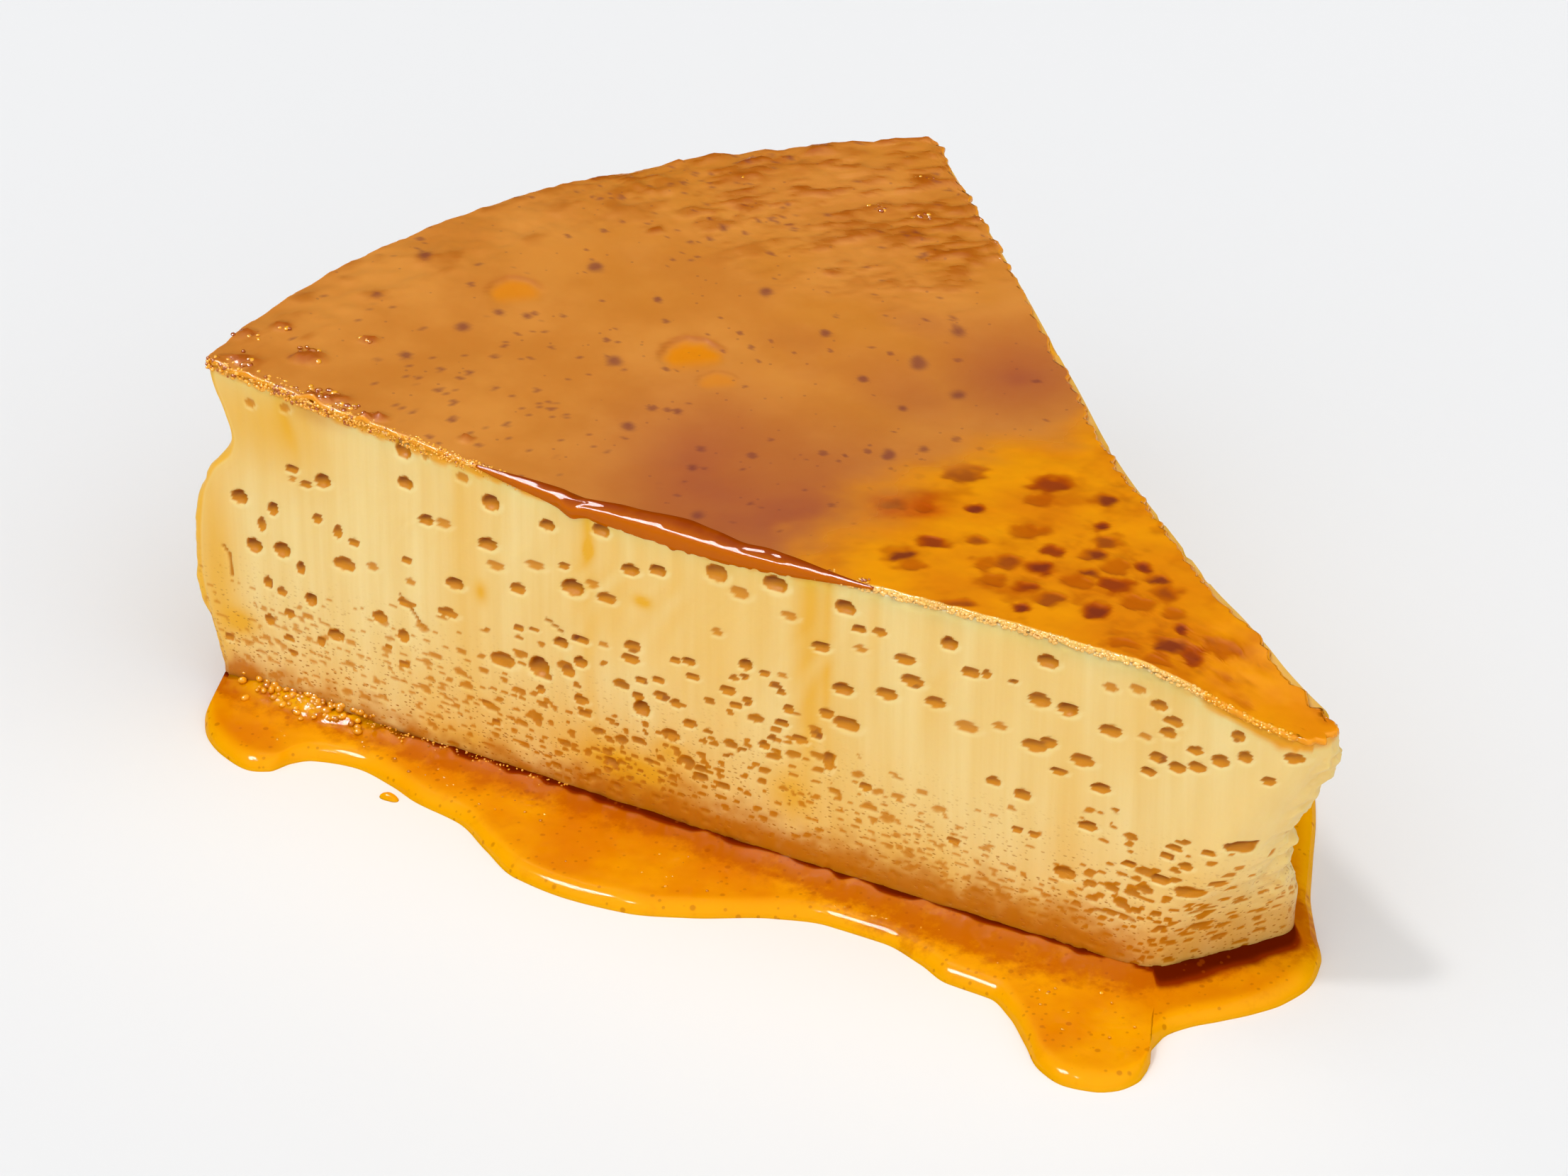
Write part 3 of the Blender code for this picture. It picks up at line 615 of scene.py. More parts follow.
def custardMaterial():
    look = custardLook
    material, tree, shader = newMaterial(
        "custard", Roughness=0.5, Subsurface_Weight=0.45, Subsurface_Scale=look["scatterScale"],
        Subsurface_Radius=look["scatterRadius"], Coat_Weight=0.05, Coat_Roughness=0.25,
        Specular_IOR_Level=0.25)
    height = addNode(tree, "SeparateXYZ", Vector=addNode(tree, "TexCoord").outputs["Object"]).outputs[2]
    streak = grain(tree, 520, (1, 1, 0.05), 4)
    broad = grain(tree, 90, (1, 1, 0.2), 2)
    colour = blendColour(tree, between(tree, streak, 0.15, 0.85), look["pale"], look["cream"])
    colour = blendColour(tree, between(tree, broad, 0.42, 0.7, 0, 0.4), colour, look["amber"])
    colour = blendColour(tree, maskOf(tree, "amber"), colour, look["amber"])
    colour = blendColour(tree, maskOf(tree, "skin"), colour, look["skin"])
    # painted highlight: pale over the pits' lower rims and over the facet
    colour = blendColour(tree, sums(tree, "MULTIPLY", maskOf(tree, "lip"), 0.7), colour, look["pale"])
    low = between(tree, height, 0.004, 0.018, 1, 0)
    dots = sums(tree, "MULTIPLY", specks(tree, 0.8, 0.28, 0.6, (1, 1, 2.1)), low)
    fine = sums(tree, "MULTIPLY", specks(tree, 0.45, 0.32, 0.4, (1, 1, 1.8)), low)
    colour = blendColour(tree, sums(tree, "MULTIPLY", dots, 0.9), colour, look["grit"])
    colour = blendColour(tree, sums(tree, "MULTIPLY", fine, 0.8), colour, look["grit"])
    colour = blendColour(tree, between(tree, maskOf(tree, "pit"), 0.05, 0.5), colour, look["pitWall"])
    # painted shade: upper parts of pits and insides of small pits and cracks
    colour = blendColour(tree, sums(tree, "MULTIPLY", maskOf(tree, "deep"), 0.95), colour, look["pitShade"])
    colour = blendColour(tree, maskOf(tree, "brown"), colour, look["brown"])
    colour = blendColour(tree, maskOf(tree, "glaze"), colour, look["glaze"])
    colour = blendColour(tree, maskOf(tree, "maroon"), colour, look["maroon"])
    tree.links.new(colour, shader.inputs["Base Color"])
    rough = between(tree, grain(tree, 900, (1, 1, 0.3), 3), 0.3, 0.7, 0.4, 0.58)
    tree.links.new(rough, shader.inputs["Roughness"])
    relief = sums(tree, "MULTIPLY", streak, 0.25)
    relief = sums(tree, "ADD", relief, sums(tree, "MULTIPLY", grain(tree, 2200, (1, 1, 1), 2), 0.25))
    relief = sums(tree, "SUBTRACT", relief, sums(tree, "MULTIPLY", dots, 0.5))
    bumped = addNode(tree, "Bump", Strength=0.5, Distance=0.00018, Height=relief)
    tree.links.new(bumped.outputs[0], shader.inputs["Normal"])
    return material


makeCustard()

topLook = {
    "acrossCut": 300,  # grid columns along the cuts, from the outer wall to the tip
    "acrossWall": 220,  # grid rows from the near cut to the far one
    "rounding": 0.3,
    "tan": tone(202, 124, 42),
    "tanLight": tone(215, 139, 55),
    "ochre": tone(200, 122, 28),
    "gold": tone(240, 152, 8),
    "honey": tone(226, 132, 10),
    "spot": tone(178, 76, 2),
    "spotCore": tone(122, 46, 26),
    "scorch": tone(168, 82, 4),
    "ember": tone(190, 66, 6),
    "lump": tone(170, 80, 0),
    "rust": tone(172, 88, 48),
    "rustDeep": tone(160, 78, 52),
    "bright": tone(228, 134, 2),
    "crust": tone(236, 150, 22),
    "creamCrust": tone(250, 204, 104),
    "fleck": tone(120, 56, 50),
}

# brown spots under the golden tip: place on the top, length, width
tipSpots = [
    (-48.3, 13.3, 2.2, 1.4), (-45.6, 13.6, 1.6, 1.2), (-46.0, 21.5, 3.0, 2.0), (-41.8, 15.7, 1.3, 1.0),
    (-37.5, 19.5, 1.8, 1.4), (-32.5, 22.7, 2.0, 1.5), (-38.0, 23.0, 3.0, 2.0), (-35.5, 14.0, 2.5, 1.5),
    (-28.8, 15.8, 2.2, 1.6), (-24.0, 13.3, 1.4, 1.2), (-26.0, 12.0, 2.5, 1.6), (-28.5, 13.0, 2.0, 1.5),
    (-41.8, 8.2, 2.4, 1.4), (-36.0, 7.0, 1.8, 1.5), (-34.5, 8.2, 2.0, 1.4), (-31.5, 8.6, 2.0, 1.5),
    (-27.5, 8.0, 2.5, 1.6), (-27.4, 10.0, 1.6, 1.2), (-24.5, 9.0, 2.5, 1.7), (-21.5, 7.3, 2.0, 1.5),
    (-20.0, 10.2, 2.0, 1.5), (-24.0, 4.3, 2.0, 1.5), (-41.5, 3.8, 2.2, 1.6), (-43.0, 5.0, 3.0, 2.0),
    (-31.0, 5.0, 1.8, 1.4), (-34.0, 4.5, 2.0, 1.4), (-28.0, 4.0, 2.0, 1.5), (-16.5, 5.5, 1.0, 0.9),
    (-12.5, 5.2, 2.5, 1.8), (-16.0, 2.5, 2.5, 1.8), (-14.0, 2.5, 2.0, 1.5), (-19.5, 1.0, 2.0, 1.4),
    (-34.5, -0.3, 2.5, 1.0), (-29.5, 1.7, 1.2, 1.0), (-16.0, 0.4, 2.0, 1.4), (-22.0, 12.0, 1.8, 1.3),
    (-32.0, 12.0, 1.6, 1.2), (-18.0, 7.5, 1.6, 1.2), (-38.5, 10.5, 1.4, 1.0), (-30.5, 18.0, 1.5, 1.1),
]
# dents in the top: place, length, width, depth, strength of their colour
dents = [
    (-77.6, 26.8, 6.6, 8.4, 0.25, 1.0), (-97.2, 26.6, 5.8, 7.0, 0.18, 0.75), (-73.4, 24.4, 4.2, 4.4, 0.06, 0.5),
]
# dark flecks that stand out: place, size
flecks = [
    (-83.3, 22.0, 1.5), (-94.0, 35.6, 1.5), (-78.4, 41.1, 1.3), (-97.8, 18.6, 1.3), (-108.0, 27.3, 1.3),
    (-107.3, 18.3, 0.8), (-73.8, 17.9, 0.8), (-67.5, 10.3, 0.9), (-60.1, 38.5, 1.8), (-59.9, 45.5, 1.6),
    (-54.0, 34.8, 1.4), (-53.7, 21.5, 1.4), (-88.1, 49.4, 0.8), (-96.7, 23.0, 0.9), (-94.2, 24.0, 1.0),
    (-51.5, 24.0, 1.0), (-57.0, 30.0, 0.9), (-63.0, 33.0, 0.9), (-70.0, 38.0, 1.0), (-76.0, 13.0, 1.2),
    (-62.4, 3.0, 1.2), (-89.0, 4.0, 0.8), (-92.5, 12.0, 0.8), (-99.0, 11.0, 1.0), (-86.0, 34.0, 0.8),
]
# scorched places near the far corner: place, length, width
scorches = [
    (-92.1, 59.3, 5.0, 2.2), (-98.7, 60.2, 2.6, 1.2), (-98.0, 50.9, 3.0, 1.4), (-85.6, 73.0, 4.5, 2.2),
    (-76.8, 69.0, 3.2, 2.0), (-77.7, 61.8, 5.5, 2.0), (-73.3, 62.7, 4.0, 2.4), (-75.7, 58.3, 2.6, 1.4),
    (-74.9, 48.5, 2.6, 1.4), (-88.1, 54.4, 3.4, 1.6), (-103.3, 51.3, 3.0, 1.2), (-81.0, 65.5, 4.0, 1.8),
    (-70.5, 66.0, 3.0, 1.8), (-80.0, 56.0, 3.0, 1.2), (-84.0, 67.0, 3.0, 1.4), (-93.0, 45.0, 2.4, 1.0),
    (-68.5, 60.5, 2.4, 1.4), (-73.5, 70.5, 2.4, 1.5),
]


# raised lumps of caramel at the outer corner: place, length, width
moundsAtCorner = [
    (-105.3, 5.0, 3.6, 2.4), (-103.0, 11.0, 2.0, 1.3), (-109.6, 1.0, 3.2, 2.0), (-99.5, 0.2, 5.0, 1.6),
    (-112.2, 5.0, 2.2, 1.4), (-94.5, -0.2, 3.0, 1.2), (-86.0, 2.0, 1.5, 0.8), (-110.6, 8.0, 2.0, 1.0),
]


def streaky(x, y):
    # how much of the scorched corner there is: 0 in the middle of the top, 1 at the far corner
    return smoothStep(38, 58, y) * smoothStep(0.0, 0.45, -(x + 58) / 20)


def turned(x, y, cx, cy, degrees):
    # coordinates along and across a direction through a point
    c, s = heading(degrees)
    return (x - cx) * c + (y - cy) * s, -(x - cx) * s + (y - cy) * c


def topMarks(x, y):
    # everything that varies over the top: its relief in millimetres and its colour masks
    radius, angle = np.hypot(x, y), np.degrees(np.arctan2(y, -x))
    limit = smoothCurve([(-2, -47.5), (6, -50), (12, -50), (20, -48.5), (28, -46), (32, -42), (60, -40)], y)
    golden = smoothStep(-6, 5, x - limit + 3.5 * layered(x / 5, y / 5, 71))
    wobble = 0.18 * noise(x / 0.8, y / 0.8, 72)
    spots, cores, ring = (np.zeros(x.shape) for _ in range(3))
    for k, (cx, cy, length, width) in enumerate(tipSpots):
        a, b = turned(x, y, cx, cy, 28)
        q = np.hypot(a / (length * 0.6), b / (width * 0.85)) + wobble * 2.2
        spots = np.maximum(spots, (0.7 + 0.3 * (k % 3 == 0)) * (1 - smoothStep(0.7, 1.45, q)))
        cores = np.maximum(cores, (k % 3 != 1) * (1 - smoothStep(0.35, 0.9, q)) * (0.6 + 0.4 * (k % 2)))
        ring = np.maximum(ring, bump(q, 1.0, 0.22))
    a, b = turned(x, y, -51, 40.5, 120)
    rust = 0.85 * np.exp(-((a / 9.5) ** 2) - (b / 7.5) ** 2)
    a, b = turned(x, y, -65, 9, 128)
    rust = 1 - (1 - rust) * (1 - 0.8 * np.exp(-((a / 14) ** 2) - (b / 8) ** 2))
    a, b = turned(x, y, -55, 8, 105)
    rust = 1 - (1 - rust) * (1 - 0.75 * np.exp(-((a / 12) ** 2) - (b / 8) ** 2))
    rust = 1 - (1 - rust) * (1 - 0.25 * smoothStep(-84, -66, x) * (1 - smoothStep(16, 34, y)))
    a, b = turned(x, y, -57, 33, 150)
    rust = np.maximum(rust, 0.5 * np.exp(-((a / 8) ** 2) - (b / 5.0) ** 2))
    rust = rust * np.clip(0.97 + 0.15 * layered(x / 7, y / 7, 73), 0, 1.1)
    rust = np.maximum(rust, 0.3 * smoothStep(0.1, 0.8, layered(x / 9, y / 9, 85)) * smoothStep(-85, -60, x))
    rust = rust * (1 - golden)
    a, b = turned(x, y, -47.5, 13.5, 30)
    reddish = np.exp(-((a / 3.8) ** 4) - (b / 2.7) ** 4) * np.clip(0.8 + 0.5 * layered(x / 1.5, y / 1.5, 74), 0, 1)
    dark = np.exp(-(((x + 14.5) / 6.5) ** 4)) * np.exp(-(((y - 3.4) / 3.4) ** 4))
    dark = dark * smoothStep(-0.45, 0.45, layered(x / 1.9, y / 1.9, 75, 3))
    blotchy = 0.45 * smoothStep(0.1, 0.7, layered(x / 2.6, y / 2.0, 86)) * smoothStep(-44, -30, x)
    spots = np.clip(np.maximum.reduce([spots, dark * 0.5, blotchy]), 0, 1) * smoothStep(0, 0.4, golden)
    cores = np.clip(cores + 0.35 * dark * smoothStep(0.1, 0.5, layered(x / 0.9, y / 0.9, 87)), 0, 1)
    cores = cores * smoothStep(0, 0.4, golden)

    relief = 0.10 * layered(x / 16, y / 16, 76, 3) + 0.03 * layered(x / 3, y / 3, 77, 2)
    bright, brown = np.zeros(x.shape), np.zeros(x.shape)
    arcs = np.zeros(x.shape)
    for cx, cy, length, width, deep, strength in dents:
        # a scoop with a sharp far edge that runs out level on the near side
        a, b = turned(x, y, cx, cy, 31)
        q = np.hypot(a / (length / 2), b / (width / 2)) + 0.06 * noise(x / 0.8, y / 0.8, 88)
        far = smoothStep(-0.9, 0.7, 2 * b / width - 0.5 * a / length)
        relief -= deep * far**1.5 * (1 - smoothStep(0.82, 1.02, q))
        bright = np.maximum(bright, strength * smoothStep(0.0, 0.7, far) * (1 - smoothStep(0.55, 0.98, q)))
        arcs = np.maximum(arcs, strength * bump(q, 0.96, 0.10) * smoothStep(0.6, 1.0, far))
    for cx, cy, size in flecks:
        a, b = turned(x, y, cx, cy, 31)
        q = np.hypot(a, b / 1.4) / (size / 2) + wobble * 1.6
        brown = np.maximum(brown, 0.85 * (1 - smoothStep(0.4, 1.4, q)))
    clustered = smoothStep(-0.1, 0.6, layered(x / 7, y / 7, 89)) * smoothStep(-70, -95, x)
    scattered = 0.10 + 0.6 * clustered + 0.15 * streaky(x, y)
    for seed, cell, size, share in ((301, 3.1, 0.8, 0.35), (311, 1.7, 0.55, 0.45), (321, 1.1, 0.36, 0.4)):
        a, b = turned(x, y, 0, 0, 31)
        s = pitLayer(a, b, seed, cell, cell * 1.3, size, size * 1.3, share * scattered)[1]
        brown = np.maximum(brown, s * 0.7)
    burnt = streaky(x, y)
    swirl = layered(radius / 1.5, angle / 3.6, 79)
    swirl = 0.6 * swirl + 0.6 * layered(radius / 0.8, angle / 1.3, 84, 3)
    scorch = burnt * smoothStep(0.0, 0.4, swirl)
    for cx, cy, length, width in scorches:
        a, b = turned(x, y, cx, cy, np.degrees(np.arctan2(cy, cx)) + 90)
        q = np.hypot(a / (length / 2), b / (width / 2)) + 0.6 * layered(x / 1.2, y / 1.2, 82, 3)
        scorch = np.maximum(scorch, 1 - smoothStep(0.4, 1.2, q))
    scorch = scorch * np.clip(0.85 + 0.5 * layered(x / 0.9, y / 0.9, 97, 3), 0, 1)
    relief += 0.2 * scorch + burnt * (0.14 * swirl + 0.14 * layered(x / 0.9, y / 0.9, 96, 3))
    lumps = np.zeros(x.shape)
    for cx, cy, length, width in moundsAtCorner:
        a, b = turned(x, y, cx, cy, 31)
        q = np.hypot(a / (length / 2), b / (width / 2)) + 0.3 * noise(x / 0.7, y / 0.7, 90)
        lumps = np.maximum(lumps, 1 - smoothStep(0.5, 1.2, q))
    relief += lumps * (0.35 + 0.3 * noise(x / 0.45, y / 0.45, 95))
    rimBumps = smoothStep(104, 110, radius) * layered(radius / 1.8, angle / 1.4, 80, 3)
    relief += 0.25 * rimBumps
    scorch = np.maximum(scorch, 0.5 * smoothStep(0.1, 0.6, rimBumps))
    relief += golden * (0.07 * layered(x / 2.2, y / 2.2, 81, 3) - 0.10 * spots + 0.07 * ring)
    ochre = smoothStep(20, 50, y) * smoothStep(-0.6, 0.5, layered(x / 8, y / 8, 83))
    return relief, {"golden": golden, "spot": spots, "core": cores, "rust": rust, "bright": bright,
                    "brown": brown, "scorch": scorch, "ochre": ochre, "arc": arcs,
                    "ember": reddish * smoothStep(0, 0.4, golden), "lump": lumps}


def coonsGrid(near, far, outer, tip):
    # surface between four edges: blend of near and far + blend of outer and tip - corner blend
    u = np.linspace(0, 1, len(near))[:, None, None]
    v = np.linspace(0, 1, len(outer))[None, :, None]
    sides = near[:, None] * (1 - v) + far[:, None] * v + outer[None] * (1 - u) + tip[None] * u
    corners = ((near[0] * (1 - u) + near[-1] * u) * (1 - v) + (far[0] * (1 - u) + far[-1] * u) * v)
    return sides - corners


def makeTop():
    # The face is a grid between the four edges of the slice; from its border rings go round the
    # edge, down the side and back in underneath.
    look, crust, r = topLook, wedge["crust"], topLook["rounding"]
    nu, nv = look["acrossCut"], look["acrossWall"]
    i, j = np.linspace(0, 1, nu), np.linspace(0, 1, nv)
    i = i + 0.10 * np.sin(2 * np.pi * i) / (2 * np.pi)
    wallRun = smoothCurve([(0, 6.0), (0.035, 5.0), (0.965, 4.0), (1, 3.0)], j)
    # border stations in order: near cut, tip, far cut, wall
    stations = np.concatenate([i[:-1], 1 + j[:-1], 3 - i[:0:-1], wallRun[:0:-1]])
    cols = len(stations)
    edge = sliceOutline(np.full(cols, wedge["top"][-1][1]), np.mod(stations, 6))
    normal = outward(edge)
    along = np.concatenate([[0], np.cumsum(np.linalg.norm(np.diff(edge, axis=0), axis=1))])
    onFar = smoothStep(1.6, 2.0, stations) * (1 - smoothStep(3.0, 3.3, stations))
    onTip = smoothStep(0.9, 1.0, stations) * (1 - smoothStep(2.0, 2.1, stations))
    ragged = 0.12 * layered(along / 1.7, along * 0, 91) + 0.08 * noise(along / 0.6, along * 0, 92)
    ragged = ragged * (0.7 + 1.6 * onFar + 2.2 * onTip)
    ragged += onFar * 0.35 * np.clip(noise(along / 1.1, along * 0, 94), 0, 1)
    edge = edge + normal * ragged[:, None]
    inside = edge - normal * r
    face = coonsGrid(inside[:nu], inside[np.r_[nu + nv - 2 + nu - 1:nu + nv - 3:-1]],
                     np.concatenate([inside[:1], inside[:2 * nu + nv - 4:-1]]), inside[nu - 1:nu + nv - 1])
    relief, marks = topMarks(face[..., 0], face[..., 1])
    faceZ = topHeight(face[..., 0], face[..., 1]) + relief
    facePoints = np.concatenate([face, faceZ[..., None]], -1).reshape(-1, 3)
    index = np.arange(nu * nv).reshape(nu, nv)
    border = np.concatenate([index[:-1, 0], index[-1, :-1], index[:0:-1, -1], index[0, :0:-1]])
    faceQuads = np.stack([index[:-1, :-1], index[1:, :-1], index[1:, 1:], index[:-1, 1:]], -1).reshape(-1, 4)

    rings, ringMarks, side = [], [], []
    borderZ = facePoints[border, 2]

    def place(plan, z, sideShare):
        rings.append(np.column_stack([plan, z]))
        ringMarks.append(topMarks(plan[:, 0], plan[:, 1])[1])
        side.append(np.full(cols, sideShare))

    grains = 0.09 * noise(along / 0.45, along * 0, 93)
    for a in np.radians((72, 54, 36, 18, 0)):
        place(edge - normal * (r * (1 - np.cos(a)) - grains * np.cos(a))[:, None], borderZ - r * (1 - np.sin(a)),
              np.cos(a) ** 0.5)
    place(edge + normal * grains[:, None] * 0.6, borderZ - r - crust * 0.6, 1)
    place(edge - normal * 0.25, borderZ - r - crust * 0.8, 1)
    centre = edge.mean(0)
    for share in (0.97, 0.9, 0.8, 0.68, 0.54, 0.4, 0.26, 0.12):
        plan = centre + (edge - centre) * share
        place(plan, topHeight(*plan.T) - crust - 0.55, 1)
    ringPoints = np.concatenate(rings)
    ringIndex = nu * nv + np.arange(len(ringPoints)).reshape(-1, cols)
    loops = np.concatenate([border[None], ringIndex])
    nextLoops = np.roll(loops, -1, 1)
    ringQuads = np.stack([loops[:-1], loops[1:], nextLoops[1:], nextLoops[:-1]], -1).reshape(-1, 4)
    middle = nu * nv + len(ringPoints)
    fan = np.stack([nextLoops[-1], loops[-1], np.full(cols, middle)], -1)
    points = np.concatenate([facePoints, ringPoints, ringPoints[-cols:].mean(0)[None]])
    values = {key: np.clip(np.concatenate([marks[key].ravel()] + [m[key] for m in ringMarks] + [[0]]), 0, 1)
              for key in marks}
    values["side"] = np.concatenate([np.zeros(nu * nv)] + side + [[1]])
    x = points[:, 0]
    pale = smoothStep(-46, -43, x) * (1 - smoothStep(-14, -10, x)) * smoothStep(6, 3, points[:, 1])
    values["creamSide"] = pale * values["side"]
    print("top grid", nu, "by", nv)
    return addPiece("caramel_crust", points, [faceQuads, ringQuads, fan], topMaterial(),
                    ("caramel_top",), values)


def topMaterial():
    look = topLook
    material, tree, shader = newMaterial(
        "caramel top", Subsurface_Weight=0.25, Subsurface_Scale=0.0008, Subsurface_Radius=(1.5, 0.9, 0.4),
        Coat_Weight=0.2, Coat_Roughness=0.1, Specular_IOR_Level=0.1)
    golden = maskOf(tree, "golden")
    mottle = grain(tree, 90, (1, 1, 1), 4)
    colour = blendColour(tree, between(tree, mottle, 0.35, 0.68), look["tan"], look["tanLight"])
    colour = blendColour(tree, sums(tree, "MULTIPLY", maskOf(tree, "ochre"), 0.6), colour, look["ochre"])
    rust = maskOf(tree, "rust")
    colour = blendColour(tree, rust, colour, look["rust"])
    colour = blendColour(tree, between(tree, rust, 0.75, 1.0, 0, 0.7), colour, look["rustDeep"])
    colour = blendColour(tree, maskOf(tree, "bright"), colour, look["bright"])
    colour = blendColour(tree, sums(tree, "MULTIPLY", maskOf(tree, "scorch"), 0.9), colour, look["scorch"])
    colour = blendColour(tree, sums(tree, "MULTIPLY", maskOf(tree, "lump"), 0.9), colour, look["lump"])
    colour = blendColour(tree, sums(tree, "MULTIPLY", maskOf(tree, "arc"), 0.6), colour, look["scorch"])
    tiny = sums(tree, "MULTIPLY", specks(tree, 1.3, 0.16, 0.4), 0.4)
    dots = sums(tree, "MAXIMUM", maskOf(tree, "brown"), tiny)
    colour = blendColour(tree, sums(tree, "MULTIPLY", dots, 0.85), colour, look["fleck"])
    syrup = blendColour(tree, between(tree, mottle, 0.35, 0.65), look["gold"], look["honey"])
    syrup = blendColour(tree, sums(tree, "MULTIPLY", maskOf(tree, "ember"), 0.9), syrup, look["ember"])
    syrup = blendColour(tree, between(tree, grain(tree, 160), 0.5, 0.7, 0, 0.45), syrup, look["spot"])
    syrup = blendColour(tree, maskOf(tree, "spot"), syrup, look["spot"])
    syrup = blendColour(tree, sums(tree, "MULTIPLY", maskOf(tree, "core"), 0.85), syrup, look["spotCore"])
    colour = blendColour(tree, golden, colour, syrup)
    colour = blendColour(tree, maskOf(tree, "side"), colour, look["crust"])
    colour = blendColour(tree, maskOf(tree, "creamSide"), colour, look["creamCrust"])
    tree.links.new(colour, shader.inputs["Base Color"])
    wet = sums(tree, "MAXIMUM", golden, maskOf(tree, "scorch"))
    rough = between(tree, wet, 0, 1, 0.42, 0.14)
    tree.links.new(rough, shader.inputs["Roughness"])
    relief = sums(tree, "ADD", sums(tree, "MULTIPLY", grain(tree, 500, (1, 1, 1), 3), 0.6),
                  sums(tree, "MULTIPLY", grain(tree, 1800, (1, 1, 1), 2), 0.25))
    bumped = addNode(tree, "Bump", Strength=0.2, Distance=0.0001, Height=relief)
    tree.links.new(bumped.outputs[0], shader.inputs["Normal"])
    return material


makeTop()

poolLook = {
    "rings": 44,
    "amber": tone(214, 119, 0),
    "yellow": tone(234, 154, 0),
    "thin": tone(240, 164, 2),
    "deep": tone(186, 90, 0),
    "contact": tone(128, 34, 0),
    # darkest sauce, also the painted shade under the overhanging tip
    "dark": tone(84, 16, 0),
    "speck": tone(160, 70, 4),
    "foam": tone(232, 160, 0),
}


def makePool():
    # Rings run from the outer edge on the table to the slice's foot.  Height = depth of sauce
    # sqrt(1 - (1 - d/width)^2) near the edge, plus a climb that fades away from the slice.
    s0 = sauce
    cols = len(poolStations)
    foot = sliceOutline(np.full(cols, wedge["foot"]), poolStations)
    foot = foot - outward(foot) * 0.25
    edge = sauceEdge
    rings, thin, contact, dark, foamy = [], [], [], [], []
    along = np.concatenate([[0], np.cumsum(np.linalg.norm(np.diff(foot, axis=0), axis=1))])
    facetSide = smoothStep(0.975, 1.06, poolStations) * (1 - smoothStep(1.6, 1.95, poolStations))
    browned = 0.3 + 0.6 * bump(foot[:, 0], -31, 14) * (1 - smoothStep(0.9, 1.05, poolStations))
    shares = np.concatenate([[0, 0.006, 0.015, 0.03, 0.05], np.linspace(0.075, 1, poolLook["rings"])])
    for share in shares:
        plan = edge + (foot - edge) * share
        fromEdge = np.linalg.norm(plan - edge, axis=1)
        fromSlice = np.linalg.norm(plan - foot, axis=1)
        rise = 1 - np.clip(fromEdge / s0["edgeWidth"], 0, 1)
        depth = s0["depth"] * np.sqrt(1 - rise**2)
        climb = s0["climb"] * np.exp(-fromSlice / s0["climbWidth"])
        x, y = plan.T
        ripple = (0.14 * layered(x / 7, y / 7, 101, 3) + 0.05 * layered(x / 1.6, y / 1.6, 102, 2)) * np.clip(fromEdge / 3, 0, 1)
        foam = bump(x, -103, 6.5) * (poolStations < 1) * (1 - smoothStep(0.9, 2.4, fromSlice))
        froth = foam * (0.5 + 0.45 * layered(x / 1.1, y / 0.9, 105, 2))
        rings.append(np.column_stack([plan, depth + climb * depth / s0["depth"] + ripple + froth]))
        foamy.append(np.clip(foam * 1.8, 0, 1) * smoothStep(-0.5, 0.0, layered(x / 0.8, y / 0.7, 106, 2)))
        thin.append(1 - smoothStep(0.2, 2.4, fromEdge))
        contact.append(1 - smoothStep(0.3 + 2 * browned, 3.6 + 5 * browned, fromSlice))
        # a thin band of the darkest sauce along the slice's foot, widened at the facet's foot into painted shade where
        # the tip overhangs the sauce
        reach = 0.36 + 0.26 * bump(foot[:, 0], -72, 34) + 0.25 * noise(along / 1.4, along * 0, 103) + facetSide * (2.0 + 0.3 * noise(along / 3, along * 0, 104))
        dark.append(1 - smoothStep(reach * 0.55, reach * 1.6, fromSlice))
    flat = np.zeros(cols)
    rings = [np.column_stack([foot, flat]), np.column_stack([edge, flat])] + rings
    thin, contact, dark = [flat, thin[0]] + thin, [flat, contact[0]] + contact, [flat, dark[0]] + dark
    foamy = [flat, flat] + foamy + [flat] * 3
    for share, z in ((1.0, s0["film"] + 0.5), (0.9, s0["film"] + 0.1), (0.4, s0["film"] + 0.1)):
        inner = foot.mean(0) + (foot - foot.mean(0)) * share - (outward(foot) * 0.3 if share == 1 else 0)
        rings.append(np.column_stack([inner, np.full(cols, z)]))
        thin.append(flat)
        contact.append(flat + 1)
        dark.append(flat + 1)
    points, faces = closedGrid(np.stack(rings))
    values = {"thin": withEnds(np.stack(thin)), "contact": withEnds(np.stack(contact)),
              "dark": withEnds(np.stack(dark)), "foam": withEnds(np.stack(foamy))}
    return addPiece("caramel_sauce", points, faces, poolMaterial(), ("caramel_pool",), values)


